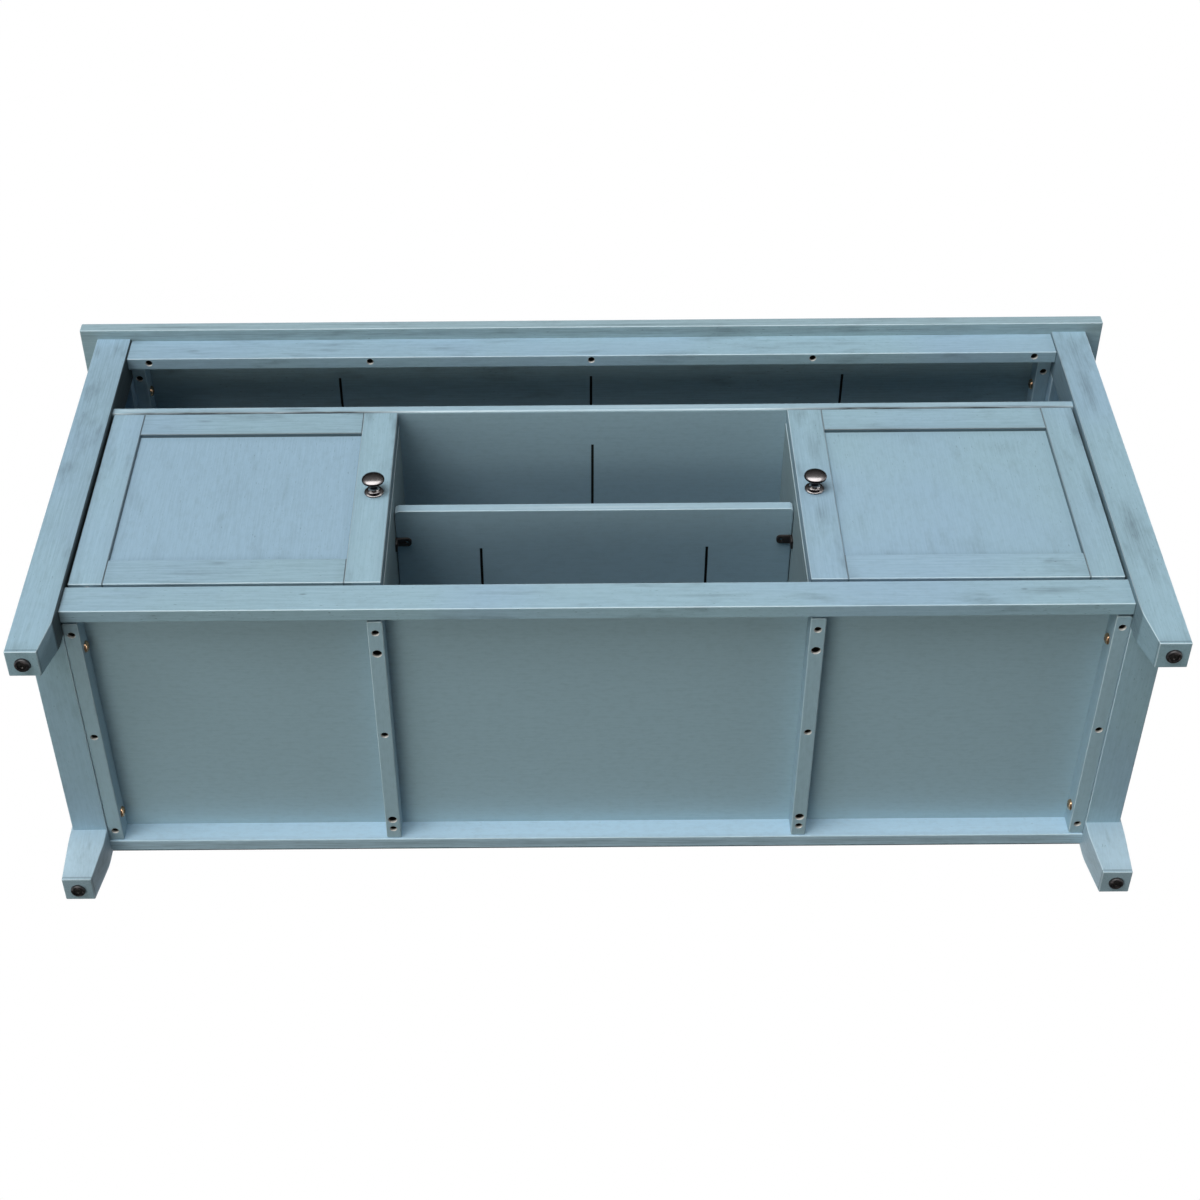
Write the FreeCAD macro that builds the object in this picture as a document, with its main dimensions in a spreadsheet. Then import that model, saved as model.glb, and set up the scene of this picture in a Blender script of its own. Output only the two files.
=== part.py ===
import FreeCAD, Part
import math
import os
import Sketcher

# Low cabinet on four legs: two framed doors, an open middle bay and an open slot under the top.
# X runs to the right, Y to the back and Z up from the floor, with the origin under the middle.

# Driving sizes in millimetres
SIZES = {
    # widths, from the middle of the cabinet outwards
    "bay_width": 437,
    "door_reveal": 0.5,
    "door_width": 320,
    "door_side_gap": 2,
    "leg_width": 40,
    "top_side_reach": 19,
    # depths, from the front to the back
    "top_front_reach": 12,
    "case_depth": 368,
    "top_rail_setback": 2.5,
    "low_rail_setback": 6,
    "rear_rail_setback": 6,
    "side_rail_setback": 2,
    # heights, from the floor upwards
    "glide_height": 4,
    "leg_clearance": 66,
    "rail_height": 38,
    "door_bay_height": 298,
    "board_thick": 12,
    "slot_height": 129,
    "top_thick": 15,
    # frame
    "foot_width": 32,
    "taper_height": 57,
    "taper_radius": 100,
    "rail_thick": 15,
    "edge_ease": 1.2,
    "shelf_ease": 3,
    "glide_radius": 8,
    "side_panel_thick": 8,
    "side_panel_setback": 14,
    "side_groove_depth": 6,
    "panel_play": 0.5,
    "back_thick": 3,
    "back_margin": 2,
    # cleats under the top and under the floor board
    "cleat_width": 16,
    "cleat_height": 24,
    "cleat_front_gap": 4,
    "cleat_corner": 2.5,
    "cleat_hole_margin": 15,
    "cleat_screw_front": 41,
    "cleat_screw_rear": 33,
    "partition_screw_front": 43.5,
    "partition_screw_rear": 29.5,
    # relief kerfs under the boards
    "kerf_width": 3,
    "kerf_depth": 7,
    "kerf_end_margin": 30,
    "top_kerf_spacing": 300,
    "top_kerf_start": 70,
    "upper_kerf_start": 48,
    "middle_kerf_spacing": 250,
    "middle_kerf_start": 53,
    # middle shelf and its pegs
    "middle_shelf_lift": 166,
    "middle_shelf_setback": 38,
    "middle_shelf_play": 0.7,
    "shelf_back_gap": 4,
    "shelf_corner": 5,
    "peg_inset": 42,
    "peg_reach": 17.5,
    "peg_width": 11,
    "peg_thick": 2.5,
    "peg_drop": 12,
    "peg_hole_radius": 1.9,
    "peg_hole_reach": 12.5,
    "peg_pin_radius": 2.5,
    "peg_pin_depth": 8,
    # doors
    "door_thick": 18,
    "door_top_gap": 1.5,
    "door_bottom_gap": 4,
    "door_back_gap": 2,
    "inner_stile_width": 38,
    "outer_stile_width": 35.5,
    "door_rail_height": 38,
    "door_panel_thick": 6,
    "door_panel_setback": 4,
    "door_groove_depth": 10,
    # pivot hinges
    "hinge_inset": 20,
    "pin_radius": 2.5,
    "pin_flange_radius": 5,
    "pin_seat_depth": 8,
    "pin_reach": 10,
    "pivot_play": 0.3,
    "bush_wall": 1.5,
    "bush_length": 12,
    # knobs
    "knob_inset": 17,
    "knob_height": 148,
    "knob_reach": 21.5,
    "knob_radius": 12.2,
    "knob_rim_height": 17.5,
    "knob_lip": 3.5,
    "knob_neck_radius": 4.2,
    "knob_neck_height": 7.5,
    "knob_base_radius": 10.5,
    "knob_base_thick": 2,
    "knob_screw_radius": 2,
    "knob_screw_bite": 7,
    "knob_screw_head_radius": 4,
    "knob_screw_head_height": 2.6,
    # catches
    "catch_width": 13,
    "catch_depth": 22,
    "catch_height": 34,
    "catch_drop": 8,
    "catch_gap": 0.4,
    "strike_width": 11,
    "strike_height": 30,
    "strike_thick": 1.2,
    # screws and nails
    "screw_radius": 1.9,
    "screw_length": 22,
    "screw_bite": 9,
    "screw_head_radius": 3.4,
    "screw_head_height": 2.2,
    "counterbore_radius": 4,
    "round_screw_length": 26,
    "round_head_radius": 6.3,
    "round_head_height": 3.4,
    "partition_screw_radius": 2.4,
    "partition_screw_bite": 25,
    "partition_head_radius": 4.4,
    "partition_head_height": 3,
    "partition_bore_radius": 5,
    "partition_bore_depth": 12,
    "back_screw_radius": 1.4,
    "back_screw_bite": 9,
    "back_head_radius": 3.2,
    "back_head_height": 1.4,
    "rail_screw_margin": 25.5,
    "rail_screw_setback": 6,
    "nail_radius": 1.2,
    "nail_length": 18,
    "nail_head_radius": 4.6,
    "nail_head_height": 1.6,
    "nail_head_sink": 2.2,
    "fit": 0.05,
    "tip_room": 0.5,
}
RAIL_SCREW_COUNT = 5
CLEAT_SCREW_COUNT = 3

# Limits for telling edges apart: how near to a plane, and the least cosine with an axis
TOUCH = 0.01
NEARLY_ALONG = 0.85

# Places that several pieces share
BAY = "(Sizes.bay_width / 2)"
DOOR_IN = f"({BAY} + Sizes.door_reveal)"
DOOR_OUT = f"({DOOR_IN} + Sizes.door_width)"
LEG_IN = f"({DOOR_OUT} + Sizes.door_side_gap)"
LEG_OUT = f"({LEG_IN} + Sizes.leg_width)"
TOP_OUT = f"({LEG_OUT} + Sizes.top_side_reach)"
SIDE_RAIL_OUT = f"({LEG_OUT} - Sizes.side_rail_setback)"
SIDE_PANEL_OUT = f"({LEG_OUT} - Sizes.side_panel_setback)"
SIDE_PANEL_IN = f"({SIDE_PANEL_OUT} - Sizes.side_panel_thick)"
PARTITION_OUT = f"({BAY} + Sizes.board_thick)"
PARTITION_MID = f"({BAY} + Sizes.board_thick / 2)"

TOP_DEPTH = "(Sizes.top_front_reach + Sizes.case_depth)"
FRONT_REACH = "max(Sizes.top_front_reach; Sizes.knob_reach - Sizes.low_rail_setback)"
LEG_BACK = f"((Sizes.case_depth + {FRONT_REACH}) / 2)"
LEG_FRONT = f"({LEG_BACK} - Sizes.case_depth)"
TOP_FRONT = f"({LEG_FRONT} - Sizes.top_front_reach)"
SIDE_FRONT = f"({LEG_FRONT} + Sizes.leg_width)"
SIDE_BACK = f"({LEG_BACK} - Sizes.leg_width)"
SIDE_LENGTH = f"({SIDE_BACK} - {SIDE_FRONT})"
TOP_RAIL_FRONT = f"({LEG_FRONT} + Sizes.top_rail_setback)"
DOOR_FRONT = f"({LEG_FRONT} + Sizes.low_rail_setback)"
LOW_RAIL_BACK = f"({DOOR_FRONT} + Sizes.rail_thick)"
DOOR_BACK = f"({DOOR_FRONT} + Sizes.door_thick)"
PARTITION_FRONT = f"({DOOR_BACK} + Sizes.door_back_gap)"
BACK_FRONT = f"({LEG_BACK} - Sizes.rear_rail_setback)"
REAR_RAIL_FRONT = f"({BACK_FRONT} - Sizes.rail_thick)"
CLEAT_FRONT = f"({LOW_RAIL_BACK} + Sizes.cleat_front_gap)"
CLEAT_LENGTH = f"({REAR_RAIL_FRONT} - {CLEAT_FRONT})"
MIDDLE_FRONT = f"({DOOR_FRONT} + Sizes.middle_shelf_setback)"
MIDDLE_DEPTH = f"({BACK_FRONT} - Sizes.shelf_back_gap - {MIDDLE_FRONT})"

RAIL_BASE = "(Sizes.glide_height + Sizes.leg_clearance)"
FLOOR_TOP = f"({RAIL_BASE} + Sizes.rail_height)"
FLOOR_BASE = f"({FLOOR_TOP} - Sizes.board_thick)"
SHELF_BASE = f"({FLOOR_TOP} + Sizes.door_bay_height)"
SHELF_TOP = f"({SHELF_BASE} + Sizes.board_thick)"
TOP_BASE = f"({SHELF_TOP} + Sizes.slot_height)"
TOP_RAIL_BASE = f"({TOP_BASE} - Sizes.rail_height)"
MIDDLE_BASE = f"({FLOOR_TOP} + Sizes.middle_shelf_lift)"
DOOR_BASE = f"({FLOOR_TOP} + Sizes.door_bottom_gap)"
DOOR_HEIGHT = f"({SHELF_BASE} - Sizes.door_top_gap - {DOOR_BASE})"

HINGE_X = f"({DOOR_OUT} - Sizes.hinge_inset)"
HINGE_Y = f"({DOOR_FRONT} + Sizes.rail_thick / 2)"
KNOB_X = f"({DOOR_IN} + Sizes.knob_inset)"
KNOB_Z = f"({DOOR_BASE} + Sizes.knob_height)"
PEG_PIN_DROP = "((Sizes.peg_thick + Sizes.peg_drop) / 2)"
PIN_BORE = "(Sizes.pin_radius + Sizes.fit)"
BUSH_RADIUS = "(Sizes.pin_radius + Sizes.bush_wall)"
BUSH_BORE = f"({BUSH_RADIUS} + Sizes.fit)"
SCREW_BORE = "(Sizes.screw_radius + Sizes.fit)"
NAIL_BORE = "(Sizes.nail_radius + Sizes.fit)"
FOOT_MID = "(Sizes.foot_width / 2)"
PARTITION_BORE = "(Sizes.partition_screw_radius + Sizes.fit)"
KNOB_BORE = "(Sizes.knob_screw_radius + Sizes.fit)"
BACK_BORE = "(Sizes.back_screw_radius + Sizes.fit)"
PIN_SEAT = "(Sizes.pin_seat_depth + Sizes.tip_room)"
PILOT_DEPTH = "(Sizes.screw_bite + Sizes.tip_room)"
SIDE_BITE = "(Sizes.round_screw_length - Sizes.cleat_width)"
DOOR_TONGUE = "(Sizes.door_groove_depth - Sizes.panel_play)"
SIDE_TONGUE = "(Sizes.side_groove_depth - Sizes.panel_play)"

doc = FreeCAD.newDocument("tv_cabinet")
sheet = doc.addObject("Spreadsheet::Sheet", "Sizes")
for line, (name, size) in enumerate(SIZES.items(), 1):
    sheet.set(f"A{line}", name)
    sheet.set(f"B{line}", str(size))
    sheet.setAlias(f"B{line}", name)
doc.recompute()
nodes = []


def value(place):
    """Work out a bound place as a number."""
    return float(sheet.evalExpression(place))


def body(label, x, y, z, turn=0):
    """Start a piece with its corner at a bound place, turned about the upright axis."""
    piece = doc.addObject("PartDesign::Body", label)
    piece.Label = label
    piece.Placement.Rotation = FreeCAD.Rotation(FreeCAD.Vector(0, 0, 1), turn)
    for axis, place in zip("xyz", (x, y, z)):
        piece.setExpression(f"Placement.Base.{axis}", place)
    nodes.append(piece)
    return piece


def sketch_on(piece, role, offset="0"):
    """Open a sketch on one of the piece's own origin planes, moved along its normal."""
    sketch = piece.newObject("Sketcher::SketchObject", f"{piece.Label}_sketch")
    planes = [plane for plane in piece.Origin.OriginFeatures if plane.Role == role]
    sketch.AttachmentSupport = (planes[0], [""])
    sketch.MapMode = "FlatFace"
    sketch.setExpression("AttachmentOffset.Base.z", offset)
    return sketch


def bind(sketch, constraint, place):
    """Add a constraint whose value follows a bound place."""
    index = sketch.addConstraint(constraint)
    sketch.setExpression(f"Constraints[{index}]", place)


def fix(sketch, geometry, point, x, y):
    """Hold one point of the sketch at a bound place."""
    bind(sketch, Sketcher.Constraint("DistanceX", -1, 1, geometry, point, value(x)), x)
    bind(sketch, Sketcher.Constraint("DistanceY", -1, 1, geometry, point, value(y)), y)


def outline(sketch, corners):
    """Draw a closed outline of straight lines through bound corners."""
    points = [FreeCAD.Vector(value(x), value(y), 0) for x, y in corners]
    for index, start in enumerate(points):
        end = points[(index + 1) % len(points)]
        sketch.addGeometry(Part.LineSegment(start, end))
    for index, (x, y) in enumerate(corners):
        before = (index - 1) % len(corners)
        sketch.addConstraint(Sketcher.Constraint("Coincident", before, 2, index, 1))
        fix(sketch, index, 1, x, y)


def rectangle(sketch, low, high):
    """Draw a rectangle between two bound corners."""
    outline(sketch, [low, (high[0], low[1]), high, (low[0], high[1])])


def pad(piece, sketch, length, flip=False):
    """Raise a sketch into a solid."""
    feature = piece.newObject("PartDesign::Pad", f"{piece.Label}_pad")
    feature.Profile = sketch
    feature.Reversed = flip
    feature.setExpression("Length", length)
    doc.recompute()


def pocket(piece, sketch, depth, flip=False):
    """Cut a sketch into the piece and make sure that it takes material away."""
    before = piece.Shape.Volume
    feature = piece.newObject("PartDesign::Pocket", f"{piece.Label}_pocket")
    feature.Profile = sketch
    feature.Reversed = flip
    feature.setExpression("Length", depth)
    doc.recompute()
    if piece.Shape.Volume >= before:
        raise RuntimeError(f"a cut in {piece.Label} removes nothing")


def board(label, corner, extent):
    """Make a plain board from its low corner and its length along each axis."""
    piece = body(label, *corner)
    sketch = sketch_on(piece, "XY_Plane")
    rectangle(sketch, ("0", "0"), (extent[0], extent[1]))
    pad(piece, sketch, extent[2])
    return piece


def ease(piece, axes, radius="Sizes.edge_ease", foot_axes=""):
    """Round the straight edges that run along the given axes, and along the foot axes only at the base."""
    base = piece.Tip
    names = []
    for index, edge in enumerate(base.Shape.Edges, 1):
        along = edge.tangentAt(edge.FirstParameter)
        at_base = edge.BoundBox.ZMax < TOUCH
        chosen = axes + foot_axes if at_base else axes
        directions = [FreeCAD.Vector(*(axis == other for other in "XYZ")) for axis in chosen]
        if any(abs(along.dot(direction)) > NEARLY_ALONG for direction in directions):
            names.append(f"Edge{index}")
    feature = piece.newObject("PartDesign::Fillet", f"{piece.Label}_ease")
    feature.Base = (base, names)
    feature.setExpression("Radius", radius)
    doc.recompute()


def groove(piece, role, offset, low, high, depth, flip=False):
    """Cut a rectangular groove."""
    sketch = sketch_on(piece, role, offset)
    rectangle(sketch, low, high)
    pocket(piece, sketch, depth, flip)


def bore(piece, role, offset, centres, radius, depth, flip=False):
    """Drill round holes at bound centres."""
    sketch = sketch_on(piece, role, offset)
    upright = FreeCAD.Vector(0, 0, 1)
    for index, (x, y) in enumerate(centres):
        centre = FreeCAD.Vector(value(x), value(y), 0)
        sketch.addGeometry(Part.Circle(centre, upright, value(radius)))
        fix(sketch, index, 3, x, y)
        bind(sketch, Sketcher.Constraint("Radius", index, value(radius)), radius)
    pocket(piece, sketch, depth, flip)


def cylinder(label, radius, height, place, axis="Z"):
    """Make a round bar that starts at a bound place and runs along an axis, or against it with a minus."""
    bar = doc.addObject("Part::Cylinder", label)
    bar.setExpression("Radius", radius)
    bar.setExpression("Height", height)
    sign = -1 if axis.startswith("-") else 1
    direction = FreeCAD.Vector(*(sign * (axis[-1] == other) for other in "XYZ"))
    bar.Placement.Rotation = FreeCAD.Rotation(FreeCAD.Vector(0, 0, 1), direction)
    for name, position in zip("xyz", place):
        bar.setExpression(f"Placement.Base.{name}", position)
    return bar


def box(label, corner, extent):
    """Make a plain block from its low corner and its length along each axis."""
    block = doc.addObject("Part::Box", label)
    for name, place in zip("xyz", corner):
        block.setExpression(f"Placement.Base.{name}", place)
    for name, size in zip(("Length", "Width", "Height"), extent):
        block.setExpression(name, size)
    return block


def fuse(label, pieces):
    """Join overlapping or touching solids into one."""
    joined = doc.addObject("Part::MultiFuse", label)
    joined.Shapes = pieces
    joined.Refine = True
    return joined


def cut(label, base, tool):
    """Take one solid out of another."""
    left = doc.addObject("Part::Cut", label)
    left.Base = base
    left.Tool = tool
    return left


def group(label, pieces):
    """Keep like pieces together as separate solids of one node."""
    together = doc.addObject("Part::Compound", f"{label}_group")
    together.Links = pieces
    together.Label = label
    nodes.append(together)


def screw(label, place, axis, sizes):
    """Make a screw whose head rests at a bound place and whose shank runs along an axis."""
    radius, length, head_radius, head_height = sizes
    sign = "-" if axis.startswith("-") else ""
    back = "" if sign else "-"
    head = cylinder(f"{label}_head", head_radius, head_height, place, f"{back}{axis[-1]}")
    shank = cylinder(f"{label}_shank", radius, length, place, axis)
    return fuse(label, [head, shank])


def mirrored(side, near, far):
    """Give the low corner of a piece that lies between two distances from the middle."""
    return near if side == "right" else f"(-{far})"


def outward(side, x):
    """Give a distance from the middle its sign."""
    return x if side == "right" else f"(-{x})"


def row(start, end, count):
    """Spread places evenly between two bound places."""
    return [f"({start} + {i} * ({end} - {start}) / {count - 1})" for i in range(count)]


SIDES = ("left", "right")
SCREW = ("Sizes.screw_radius", "Sizes.screw_length", "Sizes.screw_head_radius", "Sizes.screw_head_height")
ROUND_HEAD = ("Sizes.round_head_radius", "Sizes.round_head_height")
ROUND_SCREW = ("Sizes.screw_radius", "Sizes.round_screw_length", *ROUND_HEAD)
NAIL = ("Sizes.nail_radius", "Sizes.nail_length", "Sizes.nail_head_radius", "Sizes.nail_head_height")
RAIL_SCREW_XS = row(
    f"(-{LEG_IN} + Sizes.rail_screw_margin)", f"({LEG_IN} - Sizes.rail_screw_margin)", RAIL_SCREW_COUNT
)
CLEAT_SCREW_YS = row(
    f"({CLEAT_FRONT} + Sizes.cleat_hole_margin)",
    f"({REAR_RAIL_FRONT} - Sizes.cleat_hole_margin)",
    CLEAT_SCREW_COUNT,
)
CROSS_SCREW_YS = [
    f"({CLEAT_FRONT} + Sizes.cleat_screw_front)",
    f"({REAR_RAIL_FRONT} - Sizes.cleat_screw_rear)",
]
PARTITION_SCREW_YS = [
    f"({CLEAT_FRONT} + Sizes.partition_screw_front)",
    f"({REAR_RAIL_FRONT} - Sizes.partition_screw_rear)",
]
CLEAT_BASE = f"({FLOOR_BASE} - Sizes.cleat_height)"
TOP_CLEAT_BASE = f"({TOP_BASE} - Sizes.cleat_height)"
END_CLEAT_IN = f"({LEG_IN} - Sizes.cleat_width)"
END_CLEAT_MID = f"({LEG_IN} - Sizes.cleat_width / 2)"
TOP_RAIL_LINE = f"({TOP_RAIL_FRONT} + Sizes.rail_screw_setback)"
REAR_RAIL_LINE = f"({REAR_RAIL_FRONT} + Sizes.rail_screw_setback)"
PEG_YS = [f"({MIDDLE_FRONT} + Sizes.peg_inset)", f"({MIDDLE_FRONT} + {MIDDLE_DEPTH} - Sizes.peg_inset)"]


def counterbore(height):
    """Depth of a counterbore that leaves the screw its bite above a piece of this height."""
    return f"({height} + Sizes.screw_bite - Sizes.screw_length)"


def make_top():
    """Top board, with relief kerfs and pilot holes underneath."""
    piece = board(
        "top_panel",
        (f"(-{TOP_OUT})", TOP_FRONT, TOP_BASE),
        (f"(2 * {TOP_OUT})", TOP_DEPTH, "Sizes.top_thick"),
    )
    ease(piece, "XYZ")
    for step in (-1, 0, 1):
        middle = f"({TOP_OUT} + {step} * Sizes.top_kerf_spacing)"
        kerf(piece, middle, "Sizes.top_kerf_start", TOP_DEPTH)
    places = [(x, TOP_RAIL_LINE) for x in RAIL_SCREW_XS]
    places += [(x, REAR_RAIL_LINE) for x in RAIL_SCREW_XS]
    places += [(outward(side, END_CLEAT_MID), y) for side in SIDES for y in CLEAT_SCREW_YS]
    centres = [(f"({x} + {TOP_OUT})", f"({y} - {TOP_FRONT})") for x, y in places]
    bore(piece, "XY_Plane", "0", centres, SCREW_BORE, PILOT_DEPTH, True)


def kerf(piece, middle, start, depth):
    """Saw a stopped relief kerf into the underside of a board."""
    low = (f"({middle} - Sizes.kerf_width / 2)", start)
    high = (f"({middle} + Sizes.kerf_width / 2)", f"({depth} - Sizes.kerf_end_margin)")
    groove(piece, "XY_Plane", "0", low, high, "Sizes.kerf_depth", True)


def foot_wedge(sketch):
    """Draw the wedge that is cut off a foot; its straight side leaves the post in a smooth curve."""
    corners = [
        ("Sizes.foot_width", "0"), ("Sizes.leg_width", "0"), ("Sizes.leg_width", "Sizes.taper_height"),
    ]
    tip, heel, top = [FreeCAD.Vector(value(x), value(y), 0) for x, y in corners]
    radius = value("Sizes.taper_radius")
    centre = FreeCAD.Vector(top.x - radius, top.y, 0)
    away = tip - centre
    turn = math.atan2(away.y, away.x) + math.acos(radius / away.Length)
    bend = centre + FreeCAD.Vector(math.cos(turn), math.sin(turn), 0) * radius
    circle = Part.Circle(centre, FreeCAD.Vector(0, 0, 1), radius)
    sketch.addGeometry(Part.LineSegment(tip, heel))
    sketch.addGeometry(Part.LineSegment(heel, top))
    sketch.addGeometry(Part.ArcOfCircle(circle, turn, 0))
    sketch.addGeometry(Part.LineSegment(bend, tip))
    sketch.addConstraint(Sketcher.Constraint("Coincident", 0, 2, 1, 1))
    sketch.addConstraint(Sketcher.Constraint("Coincident", 1, 2, 2, 2))
    sketch.addConstraint(Sketcher.Constraint("Tangent", 2, 1, 3, 1))
    sketch.addConstraint(Sketcher.Constraint("Coincident", 3, 2, 0, 1))
    fix(sketch, 0, 1, *corners[0])
    fix(sketch, 1, 1, *corners[1])
    fix(sketch, 1, 2, *corners[2])
    bind(sketch, Sketcher.Constraint("DistanceY", -1, 1, 2, 3, top.y), "Sizes.taper_height")
    bind(sketch, Sketcher.Constraint("Radius", 2, radius), "Sizes.taper_radius")


def make_leg(label, x, y, turn, panel_plane):
    """Square post with its outer corner at the place, tapered at the foot on both inner faces."""
    piece = body(label, x, y, "Sizes.glide_height", turn)
    section = sketch_on(piece, "XY_Plane")
    rectangle(section, ("0", "0"), ("Sizes.leg_width", "Sizes.leg_width"))
    pad(piece, section, f"({TOP_BASE} - Sizes.glide_height)")
    for plane, flip in (("XZ_Plane", False), ("YZ_Plane", True)):
        taper = sketch_on(piece, plane)
        foot_wedge(taper)
        pocket(piece, taper, "Sizes.leg_width", flip)
    ease(piece, "Z", foot_axes="XY")
    low = ("Sizes.side_panel_setback", f"({FLOOR_TOP} - Sizes.glide_height - Sizes.side_groove_depth)")
    high = (
        "(Sizes.side_panel_setback + Sizes.side_panel_thick)",
        f"({TOP_RAIL_BASE} - Sizes.glide_height + Sizes.side_groove_depth)",
    )
    if panel_plane == "XZ_Plane":
        groove(piece, "XZ_Plane", "(-Sizes.leg_width)", low, high, "Sizes.side_groove_depth", True)
    else:
        groove(piece, "YZ_Plane", "Sizes.leg_width", low, high, "Sizes.side_groove_depth")
    nail_depth = "(Sizes.nail_length - Sizes.glide_height + Sizes.nail_head_sink + Sizes.tip_room)"
    bore(piece, "XY_Plane", "0", [(FOOT_MID, FOOT_MID)], NAIL_BORE, nail_depth, True)


def make_legs():
    """Four posts; each is the same post turned a quarter, with its panel groove on the side frame."""
    left, right = f"(-{LEG_OUT})", LEG_OUT
    make_leg("front_left_leg", left, LEG_FRONT, 0, "XZ_Plane")
    make_leg("front_right_leg", right, LEG_FRONT, 90, "YZ_Plane")
    make_leg("rear_right_leg", right, LEG_BACK, 180, "XZ_Plane")
    make_leg("rear_left_leg", left, LEG_BACK, 270, "YZ_Plane")


def make_glides():
    """Round pads under the feet, each with a nail through its middle."""
    glides = []
    nails = []
    sink_radius = "(Sizes.nail_head_radius + Sizes.fit)"
    for x in (f"(-{LEG_OUT} + {FOOT_MID})", f"({LEG_OUT} - {FOOT_MID})"):
        for y in (f"({LEG_FRONT} + {FOOT_MID})", f"({LEG_BACK} - {FOOT_MID})"):
            name = f"glide_{len(glides)}"
            place = (x, y, "0")
            disc = cylinder(f"{name}_disc", "Sizes.glide_radius", "Sizes.glide_height", place)
            sink = cylinder(f"{name}_sink", sink_radius, "Sizes.nail_head_sink", place)
            hole = cylinder(f"{name}_hole", NAIL_BORE, "Sizes.glide_height", place)
            glides.append(cut(name, disc, fuse(f"{name}_bore", [sink, hole])))
            nails.append(screw(f"nail_{len(nails)}", (x, y, "Sizes.nail_head_sink"), "Z", NAIL))
    group("foot_glides", glides)
    group("glide_nails", nails)


def make_cross_rails():
    """Rails between the legs at the front and the back, under the top and round the floor board."""
    xs = [f"({x} + {LEG_IN})" for x in RAIL_SCREW_XS]
    hinge_xs = [f"({LEG_IN} - {HINGE_X})", f"({LEG_IN} + {HINGE_X})"]
    rails = {
        "front_top_rail": (TOP_RAIL_FRONT, TOP_RAIL_BASE),
        "rear_top_rail": (REAR_RAIL_FRONT, TOP_RAIL_BASE),
        "front_bottom_rail": (DOOR_FRONT, RAIL_BASE),
        "rear_bottom_rail": (REAR_RAIL_FRONT, RAIL_BASE),
    }
    for label, (front, base) in rails.items():
        extent = (f"(2 * {LEG_IN})", "Sizes.rail_thick", "Sizes.rail_height")
        piece = board(label, (f"(-{LEG_IN})", front, base), extent)
        ease(piece, "XZ")
        if base == TOP_RAIL_BASE:
            centres = [(x, "Sizes.rail_screw_setback") for x in xs]
            depth = counterbore("Sizes.rail_height")
            bore(piece, "XY_Plane", "0", centres, "Sizes.counterbore_radius", depth, True)
            bore(piece, "XY_Plane", "0", centres, SCREW_BORE, "Sizes.rail_height", True)
        if front == REAR_RAIL_FRONT:
            centres = [(x, "(Sizes.rail_height / 2)") for x in xs]
            depth = "(Sizes.back_screw_bite + Sizes.tip_room)"
            bore(piece, "XZ_Plane", "(-Sizes.rail_thick)", centres, BACK_BORE, depth, True)
        if label == "front_bottom_rail":
            centres = [(x, f"({HINGE_Y} - {DOOR_FRONT})") for x in hinge_xs]
            bore(piece, "XY_Plane", "Sizes.rail_height", centres, PIN_BORE, PIN_SEAT)


def make_side_frames():
    """Side rails and the thin panels held in their grooves and in the legs."""
    for side in SIDES:
        panel_near = f"({SIDE_PANEL_IN} - {LEG_IN})"
        if side == "left":
            panel_near = "(Sizes.side_panel_setback - Sizes.side_rail_setback)"
        panel_far = f"({panel_near} + Sizes.side_panel_thick)"
        for level, base in (("top", TOP_RAIL_BASE), ("bottom", RAIL_BASE)):
            corner = (mirrored(side, LEG_IN, SIDE_RAIL_OUT), SIDE_FRONT, base)
            width = f"({SIDE_RAIL_OUT} - {LEG_IN})"
            piece = board(f"{side}_side_{level}_rail", corner, (width, SIDE_LENGTH, "Sizes.rail_height"))
            ease(piece, "YZ")
            offset, flip = ("0", True) if level == "top" else ("Sizes.rail_height", False)
            groove(
                piece, "XY_Plane", offset, (panel_near, "0"), (panel_far, SIDE_LENGTH),
                "Sizes.side_groove_depth", flip,
            )
            cleat_mid = f"({CLEAT_BASE} + Sizes.cleat_height / 2 - {RAIL_BASE})"
            if level == "top":
                cleat_mid = f"({TOP_CLEAT_BASE} + Sizes.cleat_height / 2 - {TOP_RAIL_BASE})"
            centres = [(f"({y} - {SIDE_FRONT})", cleat_mid) for y in CROSS_SCREW_YS]
            inner, flip = ("0", True) if side == "right" else (width, False)
            bore(piece, "YZ_Plane", inner, centres, SCREW_BORE, f"({SIDE_BITE} + Sizes.tip_room)", flip)
        board(
            f"{side}_side_panel",
            (
                mirrored(side, SIDE_PANEL_IN, SIDE_PANEL_OUT),
                f"({SIDE_FRONT} - {SIDE_TONGUE})",
                f"({FLOOR_TOP} - {SIDE_TONGUE})",
            ),
            (
                "Sizes.side_panel_thick",
                f"({SIDE_LENGTH} + 2 * {SIDE_TONGUE})",
                f"({TOP_RAIL_BASE} - {FLOOR_TOP} + 2 * {SIDE_TONGUE})",
            ),
        )


def make_cleat(label, side, near, base, cross_screws):
    """Batten with screw holes up through it, and across it where it hangs on a side rail."""
    far = f"({near} + Sizes.cleat_width)"
    corner = (mirrored(side, near, far), CLEAT_FRONT, base)
    piece = board(label, corner, ("Sizes.cleat_width", CLEAT_LENGTH, "Sizes.cleat_height"))
    ease(piece, "Z", "Sizes.cleat_corner")
    ease(piece, "Y")
    centres = [("(Sizes.cleat_width / 2)", f"({y} - {CLEAT_FRONT})") for y in CLEAT_SCREW_YS]
    depth = counterbore("Sizes.cleat_height")
    bore(piece, "XY_Plane", "0", centres, "Sizes.counterbore_radius", depth, True)
    bore(piece, "XY_Plane", "0", centres, SCREW_BORE, "Sizes.cleat_height", True)
    if cross_screws:
        centres = [(f"({y} - {CLEAT_FRONT})", "(Sizes.cleat_height / 2)") for y in CROSS_SCREW_YS]
        inner, flip = ("0", True) if side == "right" else ("Sizes.cleat_width", False)
        bore(piece, "YZ_Plane", inner, centres, SCREW_BORE, "Sizes.cleat_width", flip)
    return piece


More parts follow.
